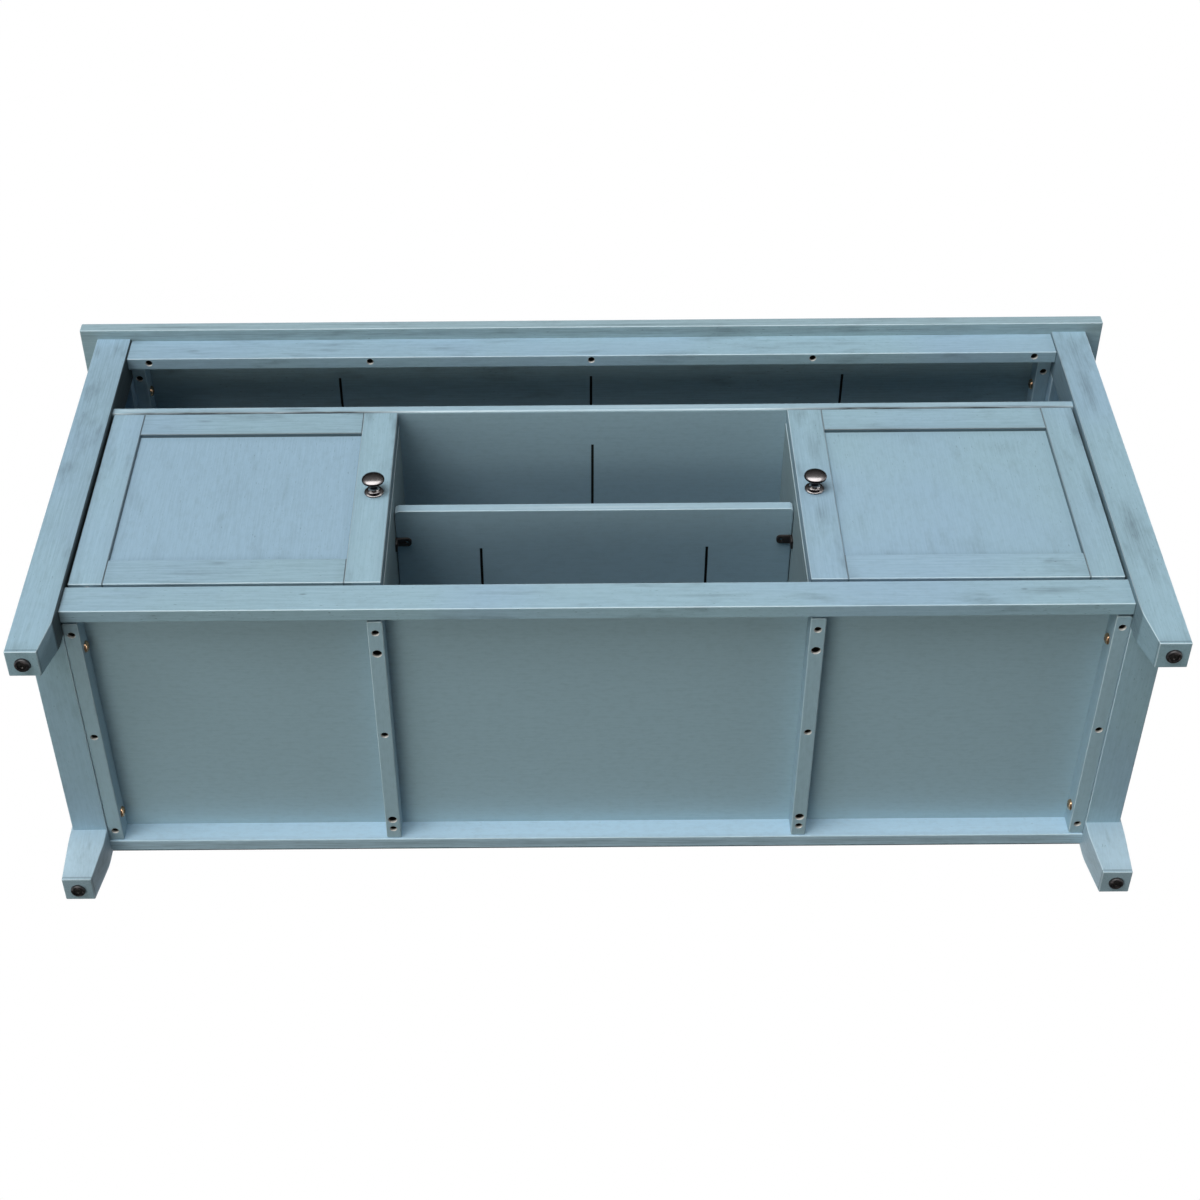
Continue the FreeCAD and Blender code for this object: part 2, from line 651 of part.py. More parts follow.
def make_cleats():
    """Battens under the top, under the floor board, and under the upper shelf's ends."""
    centre_near = f"({PARTITION_MID} - Sizes.cleat_width / 2)"
    for side in SIDES:
        make_cleat(f"{side}_top_cleat", side, END_CLEAT_IN, TOP_CLEAT_BASE, True)
        make_cleat(f"{side}_bottom_cleat", side, END_CLEAT_IN, CLEAT_BASE, True)
        piece = make_cleat(f"{side}_centre_cleat", side, centre_near, CLEAT_BASE, False)
        centres = [("(Sizes.cleat_width / 2)", f"({y} - {CLEAT_FRONT})") for y in PARTITION_SCREW_YS]
        sink_depth = "Sizes.partition_bore_depth"
        bore(piece, "XY_Plane", "0", centres, "Sizes.partition_bore_radius", sink_depth, True)
        bore(piece, "XY_Plane", "0", centres, PARTITION_BORE, "Sizes.cleat_height", True)
        board(
            f"{side}_shelf_cleat",
            (mirrored(side, LEG_IN, SIDE_PANEL_IN), SIDE_FRONT, f"({SHELF_BASE} - Sizes.cleat_height)"),
            (f"({SIDE_PANEL_IN} - {LEG_IN})", SIDE_LENGTH, "Sizes.cleat_height"),
        )


def make_floor():
    """Floor board between the rails, drilled for the screws that come up through the cleats."""
    depth = f"({REAR_RAIL_FRONT} - {LOW_RAIL_BACK})"
    piece = board(
        "bottom_panel",
        (f"(-{LEG_IN})", LOW_RAIL_BACK, FLOOR_BASE),
        (f"(2 * {LEG_IN})", depth, "Sizes.board_thick"),
    )
    lines = [outward(side, mid) for side in SIDES for mid in (END_CLEAT_MID, PARTITION_MID)]
    places = [(x, y) for x in lines for y in CLEAT_SCREW_YS]
    centres = [(f"({x} + {LEG_IN})", f"({y} - {LOW_RAIL_BACK})") for x, y in places]
    bore(piece, "XY_Plane", "0", centres, SCREW_BORE, PILOT_DEPTH, True)
    places = [(outward(side, PARTITION_MID), y) for side in SIDES for y in PARTITION_SCREW_YS]
    centres = [(f"({x} + {LEG_IN})", f"({y} - {LOW_RAIL_BACK})") for x, y in places]
    bore(piece, "XY_Plane", "0", centres, PARTITION_BORE, "Sizes.board_thick", True)


def make_upper_shelf():
    """Shelf over the doors, notched round the legs and wide enough to meet the side panels."""
    piece = body("upper_shelf", f"(-{SIDE_PANEL_IN})", DOOR_FRONT, SHELF_BASE)
    wide = f"(2 * {SIDE_PANEL_IN})"
    narrow = f"({SIDE_PANEL_IN} - {LEG_IN})"
    narrow_far = f"({SIDE_PANEL_IN} + {LEG_IN})"
    front_step = f"({SIDE_FRONT} - {DOOR_FRONT})"
    rear_step = f"({SIDE_BACK} - {DOOR_FRONT})"
    depth = f"({BACK_FRONT} - {DOOR_FRONT})"
    section = sketch_on(piece, "XY_Plane")
    outline(
        section,
        [
            (narrow, "0"), (narrow_far, "0"), (narrow_far, front_step), (wide, front_step),
            (wide, rear_step), (narrow_far, rear_step), (narrow_far, depth), (narrow, depth),
            (narrow, rear_step), ("0", rear_step), ("0", front_step), (narrow, front_step),
        ],
    )
    pad(piece, section, "Sizes.board_thick")
    ease(piece, "X", "Sizes.shelf_ease")
    kerf(piece, SIDE_PANEL_IN, "Sizes.upper_kerf_start", depth)
    hinge_y = f"({HINGE_Y} - {DOOR_FRONT})"
    centres = [(f"({SIDE_PANEL_IN} + {outward(side, HINGE_X)})", hinge_y) for side in SIDES]
    bore(piece, "XY_Plane", "0", centres, PIN_BORE, PIN_SEAT, True)


def make_partitions():
    """Upright boards between the middle bay and the door bays, with holes for the shelf pegs."""
    for side in SIDES:
        corner = (mirrored(side, BAY, PARTITION_OUT), PARTITION_FRONT, FLOOR_TOP)
        depth = f"({BACK_FRONT} - {PARTITION_FRONT})"
        height = f"({SHELF_BASE} - {FLOOR_TOP})"
        piece = board(f"{side}_partition", corner, ("Sizes.board_thick", depth, height))
        ease(piece, "Z")
        level = f"(Sizes.middle_shelf_lift - {PEG_PIN_DROP})"
        centres = [(f"({y} - {PARTITION_FRONT})", level) for y in PEG_YS]
        inner, flip = ("0", True) if side == "right" else ("Sizes.board_thick", False)
        radius = "(Sizes.peg_pin_radius + Sizes.fit)"
        bore(piece, "YZ_Plane", inner, centres, radius, "(Sizes.peg_pin_depth + Sizes.tip_room)", flip)
        centres = [("(Sizes.board_thick / 2)", f"({y} - {PARTITION_FRONT})") for y in PARTITION_SCREW_YS]
        depth = "(Sizes.partition_screw_bite + Sizes.tip_room)"
        bore(piece, "XY_Plane", "0", centres, PARTITION_BORE, depth, True)


def make_middle_shelf():
    """Loose-fitting shelf of the middle bay, with rounded corners and two relief kerfs."""
    half = f"({BAY} - Sizes.middle_shelf_play)"
    piece = board(
        "middle_shelf",
        (f"(-{half})", MIDDLE_FRONT, MIDDLE_BASE),
        (f"(2 * {half})", MIDDLE_DEPTH, "Sizes.board_thick"),
    )
    ease(piece, "Z", "Sizes.shelf_corner")
    ease(piece, "X")
    for sign in ("-", "+"):
        middle = f"({half} {sign} Sizes.middle_kerf_spacing / 2)"
        kerf(piece, middle, "Sizes.middle_kerf_start", MIDDLE_DEPTH)


def make_pegs():
    """Angle pegs under the middle shelf: a pin in the partition and a flat drilled tab."""
    pegs = []
    tab_base = f"({MIDDLE_BASE} - Sizes.peg_thick)"
    for side in SIDES:
        for y in PEG_YS:
            name = f"peg_{len(pegs)}"
            low_y = f"({y} - Sizes.peg_width / 2)"
            corner = (mirrored(side, f"({BAY} - Sizes.peg_reach)", BAY), low_y, tab_base)
            tab = box(f"{name}_tab", corner, ("Sizes.peg_reach", "Sizes.peg_width", "Sizes.peg_thick"))
            drop_base = f"({MIDDLE_BASE} - Sizes.peg_drop)"
            corner = (mirrored(side, f"({BAY} - Sizes.peg_thick)", BAY), low_y, drop_base)
            drop = box(f"{name}_drop", corner, ("Sizes.peg_thick", "Sizes.peg_width", "Sizes.peg_drop"))
            pin_place = (outward(side, BAY), y, f"({MIDDLE_BASE} - {PEG_PIN_DROP})")
            axis = "X" if side == "right" else "-X"
            pin = cylinder(f"{name}_pin", "Sizes.peg_pin_radius", "Sizes.peg_pin_depth", pin_place, axis)
            whole = fuse(f"{name}_whole", [tab, drop, pin])
            hole_place = (outward(side, f"({BAY} - Sizes.peg_hole_reach)"), y, tab_base)
            hole = cylinder(f"{name}_hole", "Sizes.peg_hole_radius", "Sizes.peg_thick", hole_place)
            pegs.append(cut(name, whole, hole))
    group("shelf_pegs", pegs)


def make_back():
    """Thin back board on the rear rails, between the rear legs, and the screws that hold it."""
    half = f"({LEG_IN} - Sizes.panel_play)"
    base = f"({RAIL_BASE} + Sizes.back_margin)"
    height = f"({TOP_BASE} - Sizes.back_margin - {base})"
    extent = (f"(2 * {half})", "Sizes.back_thick", height)
    piece = board("back_panel", (f"(-{half})", BACK_FRONT, base), extent)
    levels = [f"({rail} + Sizes.rail_height / 2)" for rail in (RAIL_BASE, TOP_RAIL_BASE)]
    places = [(x, z) for z in levels for x in RAIL_SCREW_XS]
    centres = [(f"({x} + {half})", f"({z} - {base})") for x, z in places]
    bore(piece, "XZ_Plane", "0", centres, BACK_BORE, "Sizes.back_thick")
    length = "(Sizes.back_thick + Sizes.back_screw_bite)"
    sizes = ("Sizes.back_screw_radius", length, "Sizes.back_head_radius", "Sizes.back_head_height")
    back = f"({BACK_FRONT} + Sizes.back_thick)"
    screws = [screw(f"back_screw_{i}", (x, back, z), "-Y", sizes) for i, (x, z) in enumerate(places)]
    group("back_panel_screws", screws)


def make_frame_screws():
    """Screws that hold the top, the floor board, the cleats and the partitions."""
    rail_head = f"({TOP_RAIL_BASE} + {counterbore('Sizes.rail_height')})"
    top_cleat_head = f"({TOP_CLEAT_BASE} + {counterbore('Sizes.cleat_height')})"
    cleat_head = f"({CLEAT_BASE} + {counterbore('Sizes.cleat_height')})"
    places = [(x, y, rail_head) for y in (TOP_RAIL_LINE, REAR_RAIL_LINE) for x in RAIL_SCREW_XS]
    cross_places = []
    for side in SIDES:
        end_mid = outward(side, END_CLEAT_MID)
        partition_mid = outward(side, PARTITION_MID)
        places += [(end_mid, y, top_cleat_head) for y in CLEAT_SCREW_YS]
        places += [(x, y, cleat_head) for x in (end_mid, partition_mid) for y in CLEAT_SCREW_YS]
        seat = outward(side, END_CLEAT_IN)
        axis = "X" if side == "right" else "-X"
        for base in (TOP_CLEAT_BASE, CLEAT_BASE):
            level = f"({base} + Sizes.cleat_height / 2)"
            cross_places += [((seat, y, level), axis) for y in CROSS_SCREW_YS]
    group("panel_screws", [screw(f"panel_screw_{i}", p, "Z", SCREW) for i, p in enumerate(places)])
    cross = [screw(f"cleat_screw_{i}", p, axis, ROUND_SCREW) for i, (p, axis) in enumerate(cross_places)]
    group("cleat_screws", cross)
    large_head = f"({CLEAT_BASE} + Sizes.partition_bore_depth)"
    length = f"({FLOOR_TOP} + Sizes.partition_screw_bite - {large_head})"
    head = ("Sizes.partition_head_radius", "Sizes.partition_head_height")
    sizes = ("Sizes.partition_screw_radius", length, *head)
    lines = [outward(side, PARTITION_MID) for side in SIDES]
    places = [(x, y, large_head) for x in lines for y in PARTITION_SCREW_YS]
    large = [screw(f"partition_screw_{i}", p, "Z", sizes) for i, p in enumerate(places)]
    group("partition_screws", large)


def make_hinges(side):
    """Pivot pins in the rail and the shelf, and the bushes in the door that turn on them."""
    x = outward(side, HINGE_X)
    door_top = f"({DOOR_BASE} + {DOOR_HEIGHT})"
    levels = (
        ("lower", FLOOR_TOP, DOOR_BASE, "Sizes.door_bottom_gap", "Z", "-Z"),
        ("upper", SHELF_BASE, door_top, "Sizes.door_top_gap", "-Z", "Z"),
    )
    pins = []
    bushes = []
    for level, seat, edge, gap, inward, away in levels:
        name = f"{side}_{level}"
        flange = f"({gap} - Sizes.pivot_play)"
        place = (x, HINGE_Y, seat)
        parts = [
            cylinder(f"{name}_pin", "Sizes.pin_radius", f"({gap} + Sizes.pin_reach)", place, inward),
            cylinder(f"{name}_flange", "Sizes.pin_flange_radius", flange, place, inward),
            cylinder(f"{name}_root", "Sizes.pin_radius", "Sizes.pin_seat_depth", place, away),
        ]
        pins.append(fuse(f"{name}_pivot", parts))
        place = (x, HINGE_Y, edge)
        sleeve = cylinder(f"{name}_sleeve", BUSH_RADIUS, "Sizes.bush_length", place, inward)
        hole = cylinder(f"{name}_hole", PIN_BORE, "Sizes.bush_length", place, inward)
        bushes.append(cut(f"{name}_bush", sleeve, hole))
    group(f"{side}_hinge_pins", pins)
    group(f"{side}_hinge_bushes", bushes)


def make_door_frame(side):
    """Two grooved stiles, two rails tongued into them, and the flat panel in the grooves."""
    groove_low = "Sizes.door_panel_setback"
    groove_high = "(Sizes.door_panel_setback + Sizes.door_panel_thick)"
    stile_in = f"({DOOR_IN} + Sizes.inner_stile_width)"
    stile_out = f"({DOOR_OUT} - Sizes.outer_stile_width)"
    stiles = {"inner": (DOOR_IN, stile_in), "outer": (stile_out, DOOR_OUT)}
    for name, (near, far) in stiles.items():
        corner = (mirrored(side, near, far), DOOR_FRONT, DOOR_BASE)
        width = f"Sizes.{name}_stile_width"
        extent = (width, "Sizes.door_thick", DOOR_HEIGHT)
        piece = board(f"{side}_door_{name}_stile", corner, extent)
        ease(piece, "XZ")
        low_x = f"({width} - Sizes.door_groove_depth)"
        if (name == "outer") == (side == "right"):
            low_x = "0"
        high_x = f"({low_x} + Sizes.door_groove_depth)"
        groove(piece, "XY_Plane", "0", (low_x, groove_low), (high_x, groove_high), DOOR_HEIGHT, True)
        if name == "inner":
            knob_x = "Sizes.knob_inset" if side == "right" else f"({width} - Sizes.knob_inset)"
            centres = [(knob_x, "Sizes.knob_height")]
            bore(piece, "XZ_Plane", "0", centres, KNOB_BORE, "Sizes.door_thick")
        else:
            hinge_x = f"({HINGE_X} - {near})" if side == "right" else f"({far} - {HINGE_X})"
            centres = [(hinge_x, f"({HINGE_Y} - {DOOR_FRONT})")]
            bore(piece, "XY_Plane", "0", centres, BUSH_BORE, "Sizes.bush_length", True)
            bore(piece, "XY_Plane", DOOR_HEIGHT, centres, BUSH_BORE, "Sizes.bush_length")
    opening = f"({stile_out} - {stile_in})"
    low_x = mirrored(side, stile_in, stile_out)
    rails = {"bottom": DOOR_BASE, "top": f"({DOOR_BASE} + {DOOR_HEIGHT} - Sizes.door_rail_height)"}
    for name, base in rails.items():
        extent = (opening, "Sizes.door_thick", "Sizes.door_rail_height")
        piece = board(f"{side}_door_{name}_rail", (low_x, DOOR_FRONT, base), extent)
        ease(piece, "XZ")
        offset, flip = ("0", True) if name == "top" else ("Sizes.door_rail_height", False)
        groove(
            piece, "XY_Plane", offset, ("0", groove_low), (opening, groove_high),
            "Sizes.door_groove_depth", flip,
        )
        low_z = "Sizes.door_groove_depth" if name == "top" else "Sizes.edge_ease"
        high_z = f"({low_z} + Sizes.door_rail_height - Sizes.door_groove_depth - Sizes.edge_ease)"
        for end, flip in (("0", True), (opening, False)):
            tongue = sketch_on(piece, "YZ_Plane", end)
            rectangle(tongue, (groove_low, low_z), (groove_high, high_z))
            pad(piece, tongue, DOOR_TONGUE, flip)
    inside = f"({DOOR_HEIGHT} - 2 * Sizes.door_rail_height)"
    board(
        f"{side}_door_panel",
        (
            f"({low_x} - {DOOR_TONGUE})",
            f"({DOOR_FRONT} + {groove_low})",
            f"({DOOR_BASE} + Sizes.door_rail_height - {DOOR_TONGUE})",
        ),
        (f"({opening} + 2 * {DOOR_TONGUE})", "Sizes.door_panel_thick", f"({inside} + 2 * {DOOR_TONGUE})"),
    )


def make_knob(side):
    """Turned mushroom knob on the inner stile, drilled for the screw that comes through from behind."""
    label = f"{side}_door_knob"
    piece = body(label, outward(side, KNOB_X), DOOR_FRONT, KNOB_Z)
    piece.Placement.Rotation = FreeCAD.Rotation(FreeCAD.Vector(1, 0, 0), 90)
    section = sketch_on(piece, "XZ_Plane")
    neck_top = "(Sizes.knob_rim_height - Sizes.knob_lip)"
    corners = [
        ("0", "0"),
        ("Sizes.knob_base_radius", "0"),
        ("Sizes.knob_base_radius", "Sizes.knob_base_thick"),
        ("Sizes.knob_neck_radius", "Sizes.knob_neck_height"),
        ("Sizes.knob_neck_radius", neck_top),
        ("Sizes.knob_radius", "Sizes.knob_rim_height"),
        ("0", "Sizes.knob_reach"),
    ]
    points = [FreeCAD.Vector(value(x), value(y), 0) for x, y in corners]
    rim, crown = points[-2], points[-1]
    rise = crown.y - rim.y
    radius = (rim.x ** 2 + rise ** 2) / (2 * rise)
    swing = math.atan2(rim.x, radius - rise) / 2
    crest = FreeCAD.Vector(radius * math.sin(swing), crown.y - radius + radius * math.cos(swing), 0)
    last = len(corners) - 2
    for index in range(last):
        section.addGeometry(Part.LineSegment(points[index], points[index + 1]))
    section.addGeometry(Part.Arc(rim, crest, crown))
    section.addGeometry(Part.LineSegment(crown, points[0]))
    arc_start, arc_end = 1, 2
    for index, (x, y) in enumerate(corners[:last]):
        fix(section, index, 1, x, y)
        section.addConstraint(Sketcher.Constraint("Coincident", index, 2, index + 1, 1))
    fix(section, last, arc_start, *corners[-2])
    fix(section, last, arc_end, *corners[-1])
    section.addConstraint(Sketcher.Constraint("PointOnObject", last, 3, -2))
    section.addConstraint(Sketcher.Constraint("Coincident", last, arc_end, last + 1, 1))
    section.addConstraint(Sketcher.Constraint("Coincident", last + 1, 2, 0, 1))
    turned = piece.newObject("PartDesign::Revolution", f"{label}_turned")
    turned.Profile = section
    turned.ReferenceAxis = (section, ["V_Axis"])
    doc.recompute()
    bore(piece, "XY_Plane", "0", [("0", "0")], KNOB_BORE, "(Sizes.knob_screw_bite + Sizes.tip_room)", True)
    length = "(Sizes.door_thick + Sizes.knob_screw_bite)"
    head = ("Sizes.knob_screw_head_radius", "Sizes.knob_screw_head_height")
    sizes = ("Sizes.knob_screw_radius", length, *head)
    place = (outward(side, KNOB_X), DOOR_BACK, KNOB_Z)
    group(f"{side}_knob_screw", [screw(f"{side}_screw", place, "-Y", sizes)])


def make_catches():
    """Magnetic catches on the partitions, and the steel plates that they hold on the doors."""
    level = f"({SHELF_BASE} - Sizes.catch_drop - Sizes.catch_height)"
    front = f"({DOOR_BACK} + Sizes.strike_thick + Sizes.catch_gap)"
    catches = []
    for side in SIDES:
        corner = (mirrored(side, PARTITION_OUT, f"({PARTITION_OUT} + Sizes.catch_width)"), front, level)
        extent = ("Sizes.catch_width", "Sizes.catch_depth", "Sizes.catch_height")
        catches.append(box(f"{side}_catch", corner, extent))
        near = f"({PARTITION_OUT} + (Sizes.catch_width - Sizes.strike_width) / 2)"
        corner = (
            mirrored(side, near, f"({near} + Sizes.strike_width)"),
            DOOR_BACK,
            f"({level} + (Sizes.catch_height - Sizes.strike_height) / 2)",
        )
        extent = ("Sizes.strike_width", "Sizes.strike_thick", "Sizes.strike_height")
        board(f"{side}_strike_plate", corner, extent)
    group("door_catches", catches)


def write_parts():
    """Check every object and write one file per piece."""
    doc.recompute()
    for item in doc.Objects:
        if any(word in item.State for word in ("Invalid", "Error")):
            raise RuntimeError(f"{item.Label} failed: {item.State}")
    for piece in nodes:
        if piece.Shape.isNull() or not piece.Shape.isValid():
            raise RuntimeError(f"{piece.Label} has no valid shape")
    os.makedirs("parts", exist_ok=True)
    for piece in nodes:
        piece.Shape.exportStep(f"parts/{piece.Label}.step")
    print(len(nodes), "pieces written")


make_top()
make_legs()
make_glides()
make_cross_rails()
make_side_frames()
make_cleats()
make_floor()
make_upper_shelf()
make_partitions()
make_middle_shelf()
make_pegs()
make_back()
make_frame_screws()
for door_side in SIDES:
    make_hinges(door_side)
    make_door_frame(door_side)
    make_knob(door_side)
make_catches()
write_parts()
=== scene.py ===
import math

import bmesh
import bpy
from bpy.props import FloatProperty, FloatVectorProperty, IntProperty, PointerProperty
from mathutils import Matrix, Vector


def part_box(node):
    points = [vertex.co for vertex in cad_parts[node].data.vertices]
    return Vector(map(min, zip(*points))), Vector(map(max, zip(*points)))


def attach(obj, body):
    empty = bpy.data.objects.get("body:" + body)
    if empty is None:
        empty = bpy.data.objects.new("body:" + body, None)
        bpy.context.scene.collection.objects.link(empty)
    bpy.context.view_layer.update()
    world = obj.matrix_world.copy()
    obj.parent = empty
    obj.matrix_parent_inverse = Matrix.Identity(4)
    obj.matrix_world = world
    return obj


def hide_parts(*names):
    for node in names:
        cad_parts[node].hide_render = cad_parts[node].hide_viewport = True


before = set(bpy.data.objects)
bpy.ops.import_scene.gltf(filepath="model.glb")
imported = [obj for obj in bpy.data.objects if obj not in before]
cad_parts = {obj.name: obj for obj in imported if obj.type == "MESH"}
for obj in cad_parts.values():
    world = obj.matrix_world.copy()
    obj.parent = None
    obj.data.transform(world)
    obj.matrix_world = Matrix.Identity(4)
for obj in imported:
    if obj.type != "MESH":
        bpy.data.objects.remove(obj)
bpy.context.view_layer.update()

bl_info = {
    "name": "Painted TV Cabinet",
    "version": (1, 0, 0),
    "blender": (4, 5, 0),
    "location": "View3D > Sidebar > Cabinet",
    "description": "Paints the cabinet's boards, models its fittings and sets the stage",
    "category": "Object",
}

MM = 0.001
SIDES = ("left", "right")
WHITE = (1.0, 1.0, 1.0, 1.0)

# Socket numbers of a colour Mix node
MIX_A, MIX_B, MIX_OUT = 6, 7, 2

# How squarely a surface faces an axis on a flat face and on a rounded edge
EDGE_SPAN = (0.95, 0.8)

# Noise levels between which a feature of the paint fades in
PATCH_SPAN = (0.38, 0.62)
THIN_SPAN = (0.45, 0.8)
FILM_SPAN = (0.55, 0.2)
GRIME_SPAN = (0.55, 0.25)
SMUDGE_SPAN = (0.53, 0.8)
CROWD_SPAN = (0.22, 0.3)
FLECK_SPAN = (0.68, 0.78)
RUB_AND_HIGHLIGHT_SPAN = (0.35, 0.6)
BREAK_SPAN = (0.35, 0.65)

# How much of each feature the paint has, the cover of pale paint on a rubbed edge, which is also a painted
# highlight, and the roughness from streak to streak
THIN_COVER, STREAK_FILM, PORE_FILM, JOINT_FILM = 0.25, 0.14, 0.1, 0.2
RUB_AND_HIGHLIGHT_COVER = (0.45, 0.9)
PAINT_ROUGHNESS = (0.62, 0.5)

# Noise levels between which a feature of the metals and plastics fades in
DULL_SPAN = (0.35, 0.7)
DUST_SPAN = (0.45, 0.75)
SCUFF_SPAN = (0.5, 0.66)
HAZE_SPAN = (0.3, 0.7)


def linear(colour):
    """Turn an sRGB hex colour into linear RGBA."""
    channels = [int(colour[i:i + 2], 16) / 255 for i in (1, 3, 5)]
    return (*[c / 12.92 if c <= 0.04045 else ((c + 0.055) / 1.055) ** 2.4 for c in channels], 1.0)


def colour(name, description, default):
    """A colour that the user may change."""
    return FloatVectorProperty(
        name=name, description=description, subtype="COLOR", size=4, min=0, max=1, default=linear(default)
    )


def length(name, description, default):
    """A length that the user may change; its default is in millimetres."""
    return FloatProperty(
        name=name, description=description, unit="LENGTH", min=0, precision=4, default=default * MM
    )


def brightness(name, description, default):
    """A brightness that the user may change."""
    return FloatProperty(name=name, description=description, min=0, default=default)


class CabinetPaint(bpy.types.PropertyGroup):
    """Colours and brush marks of the painted wood."""

    cool: colour("Cool Paint", "Bluer patches of the paint on the show faces", "#92B2C7")
    green: colour("Green Paint", "Greener patches of the paint on the show faces", "#93B4C3")
    fresh: colour("Fresh Paint", "Paint of the rear legs, which have little glaze", "#A3BFCF")
    pale: colour("Pale Paint", "Paint of the rear bottom rail, which has no glaze", "#B3D3E7")
    inner: colour("Inner Paint", "Greyer paint of shelves, bottom and cleats", "#96B4C3")
    weathered: colour("Weathered Paint", "Greyer paint of the top board", "#93AEB8")
    # Darker paint of the partitions: painted shade for the bays
    shade: colour("Partition Paint", "Darker paint of the partitions", "#7B9197")
    stain: colour("Back Stain", "Thin dark coat of the back board", "#5C7481")
    light: colour("Light Streaks", "Thinly covered streaks between the brush marks", "#AFCBDB")
    glaze: colour("Dark Glaze", "Antique glaze that was wiped off and stayed in joints and grain", "#334147")
    # Dark glaze in the joints, with painted shade in the gaps, recesses and shaded side faces
    joint_glaze_and_shade: colour("Crevices", "Dark glaze and dirt down in the joints", "#0B2026")
    # Pale rubbed paint on the edges, also a painted highlight along them
    worn_and_highlit: colour("Worn Edges", "Pale paint on the rubbed edges", "#C8DCE5")
    raw_wood: colour("Raw Wood", "Bare wood just inside the screw holes", "#E6E6E3")
    # Painted shade deep in the screw holes and in the saw kerfs
    deep_shade: colour("Deep Wood", "Scorched wood deep in the screw holes", "#17120F")
    streak_length: length("Streak Length", "Length of a brush streak along the grain", 45)
    streak_width: length("Streak Width", "Width of a brush streak across the grain", 1.6)
    smudge_length: length("Smudge Length", "Length of a glaze smudge along the grain", 75)
    smudge_width: length("Smudge Width", "Width of a glaze smudge across the grain", 20)
    fleck_length: length("Fleck Length", "Length of a dark fleck along the grain", 7)
    fleck_width: length("Fleck Width", "Width of a dark fleck across the grain", 1.2)
    mottle: length("Mottle", "Size of the fine mottling of the brushed paint", 5)
    cloud: length("Colour Patch", "Size of the patches of cooler and greener paint", 240)
    kerf_depth: length("Kerf Depth", "Depth of the saw kerfs under the shelves and the top", 7)
    joint_line: length("Joint Line", "Half width of the glaze left in a joint", 0.9)
    joint_fade: length("Joint Fade", "How far the glaze fades out beside a joint", 15)


class CabinetFittings(bpy.types.PropertyGroup):
    """Sizes and colours of the metal and plastic fittings."""

    nickel: colour("Black Nickel", "Polished dark nickel of the knobs", "#8E8A8A")
    brass: colour("Brass", "Reddish brass plating of the cleat screws", "#D2AC88")
    dark_zinc: colour("Dark Zinc", "Dark plating of the other screws", "#5A5856")
    bright_zinc: colour("Bright Zinc", "Bright plating of pivots and strike plates", "#B9BCBE")
    # Black oxidation with painted shade under the knob's head, and a painted dark reflection round its rim
    oxidation_shade_and_reflection: colour("Knob Oxide", "Black finish left under the knob's head and round its rim", "#141318")
    scuffs: colour("Scuffs", "Floor scuffs under the foot glides", "#6C6668")
    glide_plastic: colour("Glide Plastic", "Dark moulded plastic of the foot glides", "#171517")
    peg_plastic: colour("Peg Plastic", "Brown-black moulding of the shelf pegs and catches", "#1D1817")
    bush_plastic: colour("Bush Plastic", "Natural nylon of the hinge bushes", "#D8D6CC")
    knob_base_radius: length("Knob Base Radius", "Radius of the knob's round base", 10.5)
    knob_neck_radius: length("Knob Neck Radius", "Radius of the knob's neck", 4.2)
    knob_rim_height: length("Knob Rim Height", "Height of the head's rim over the door", 17.5)
    turned_sides: IntProperty(
        name="Turned Sides", description="Sides of a large turned piece", min=12, default=64
    )
    screw_sides: IntProperty(name="Screw Sides", description="Sides of a screw", min=8, default=24)
    counterbore: length("Counterbore", "Radius of the screw holes in rails and cleats", 4)
    partition_bore: length("Large Counterbore", "Radius of the holes under the partitions", 5)
    screw_shank: length("Shank Radius", "Radius of the frame screws over their thread", 1.9)
    partition_shank: length("Large Shank Radius", "Radius of the partition screws over their thread", 2.4)
    back_shank: length("Back Shank Radius", "Radius of the back board's screws over their thread", 1.4)
    knob_shank: length("Knob Shank Radius", "Radius of the knob screws over their thread", 2)
    nail_shank: length("Nail Shank Radius", "Radius of the glide nails", 1.2)
    screw_head: length("Head Height", "Height of a frame screw's head", 2.2)
    round_head: length("Round Head Height", "Height of a cleat screw's round head", 3.4)
    partition_head: length("Large Head Height", "Height of a partition screw's head", 3)
    back_head: length("Back Head Height", "Height of a back screw's head", 1.4)
    knob_head: length("Knob Head Height", "Height of a knob screw's head", 2.6)
    nail_head: length("Nail Head Height", "Height of a glide nail's head", 1.6)
    peg_thick: length("Peg Thickness", "Thickness of a shelf peg's tab", 2.5)
    peg_pin: length("Peg Pin Radius", "Radius of the pin in the partition", 2.5)
    peg_pin_depth: length("Peg Pin Depth", "Length of the pin in the partition", 8)
    peg_hole: length("Peg Hole Radius", "Radius of the hole in a peg's tab", 1.9)


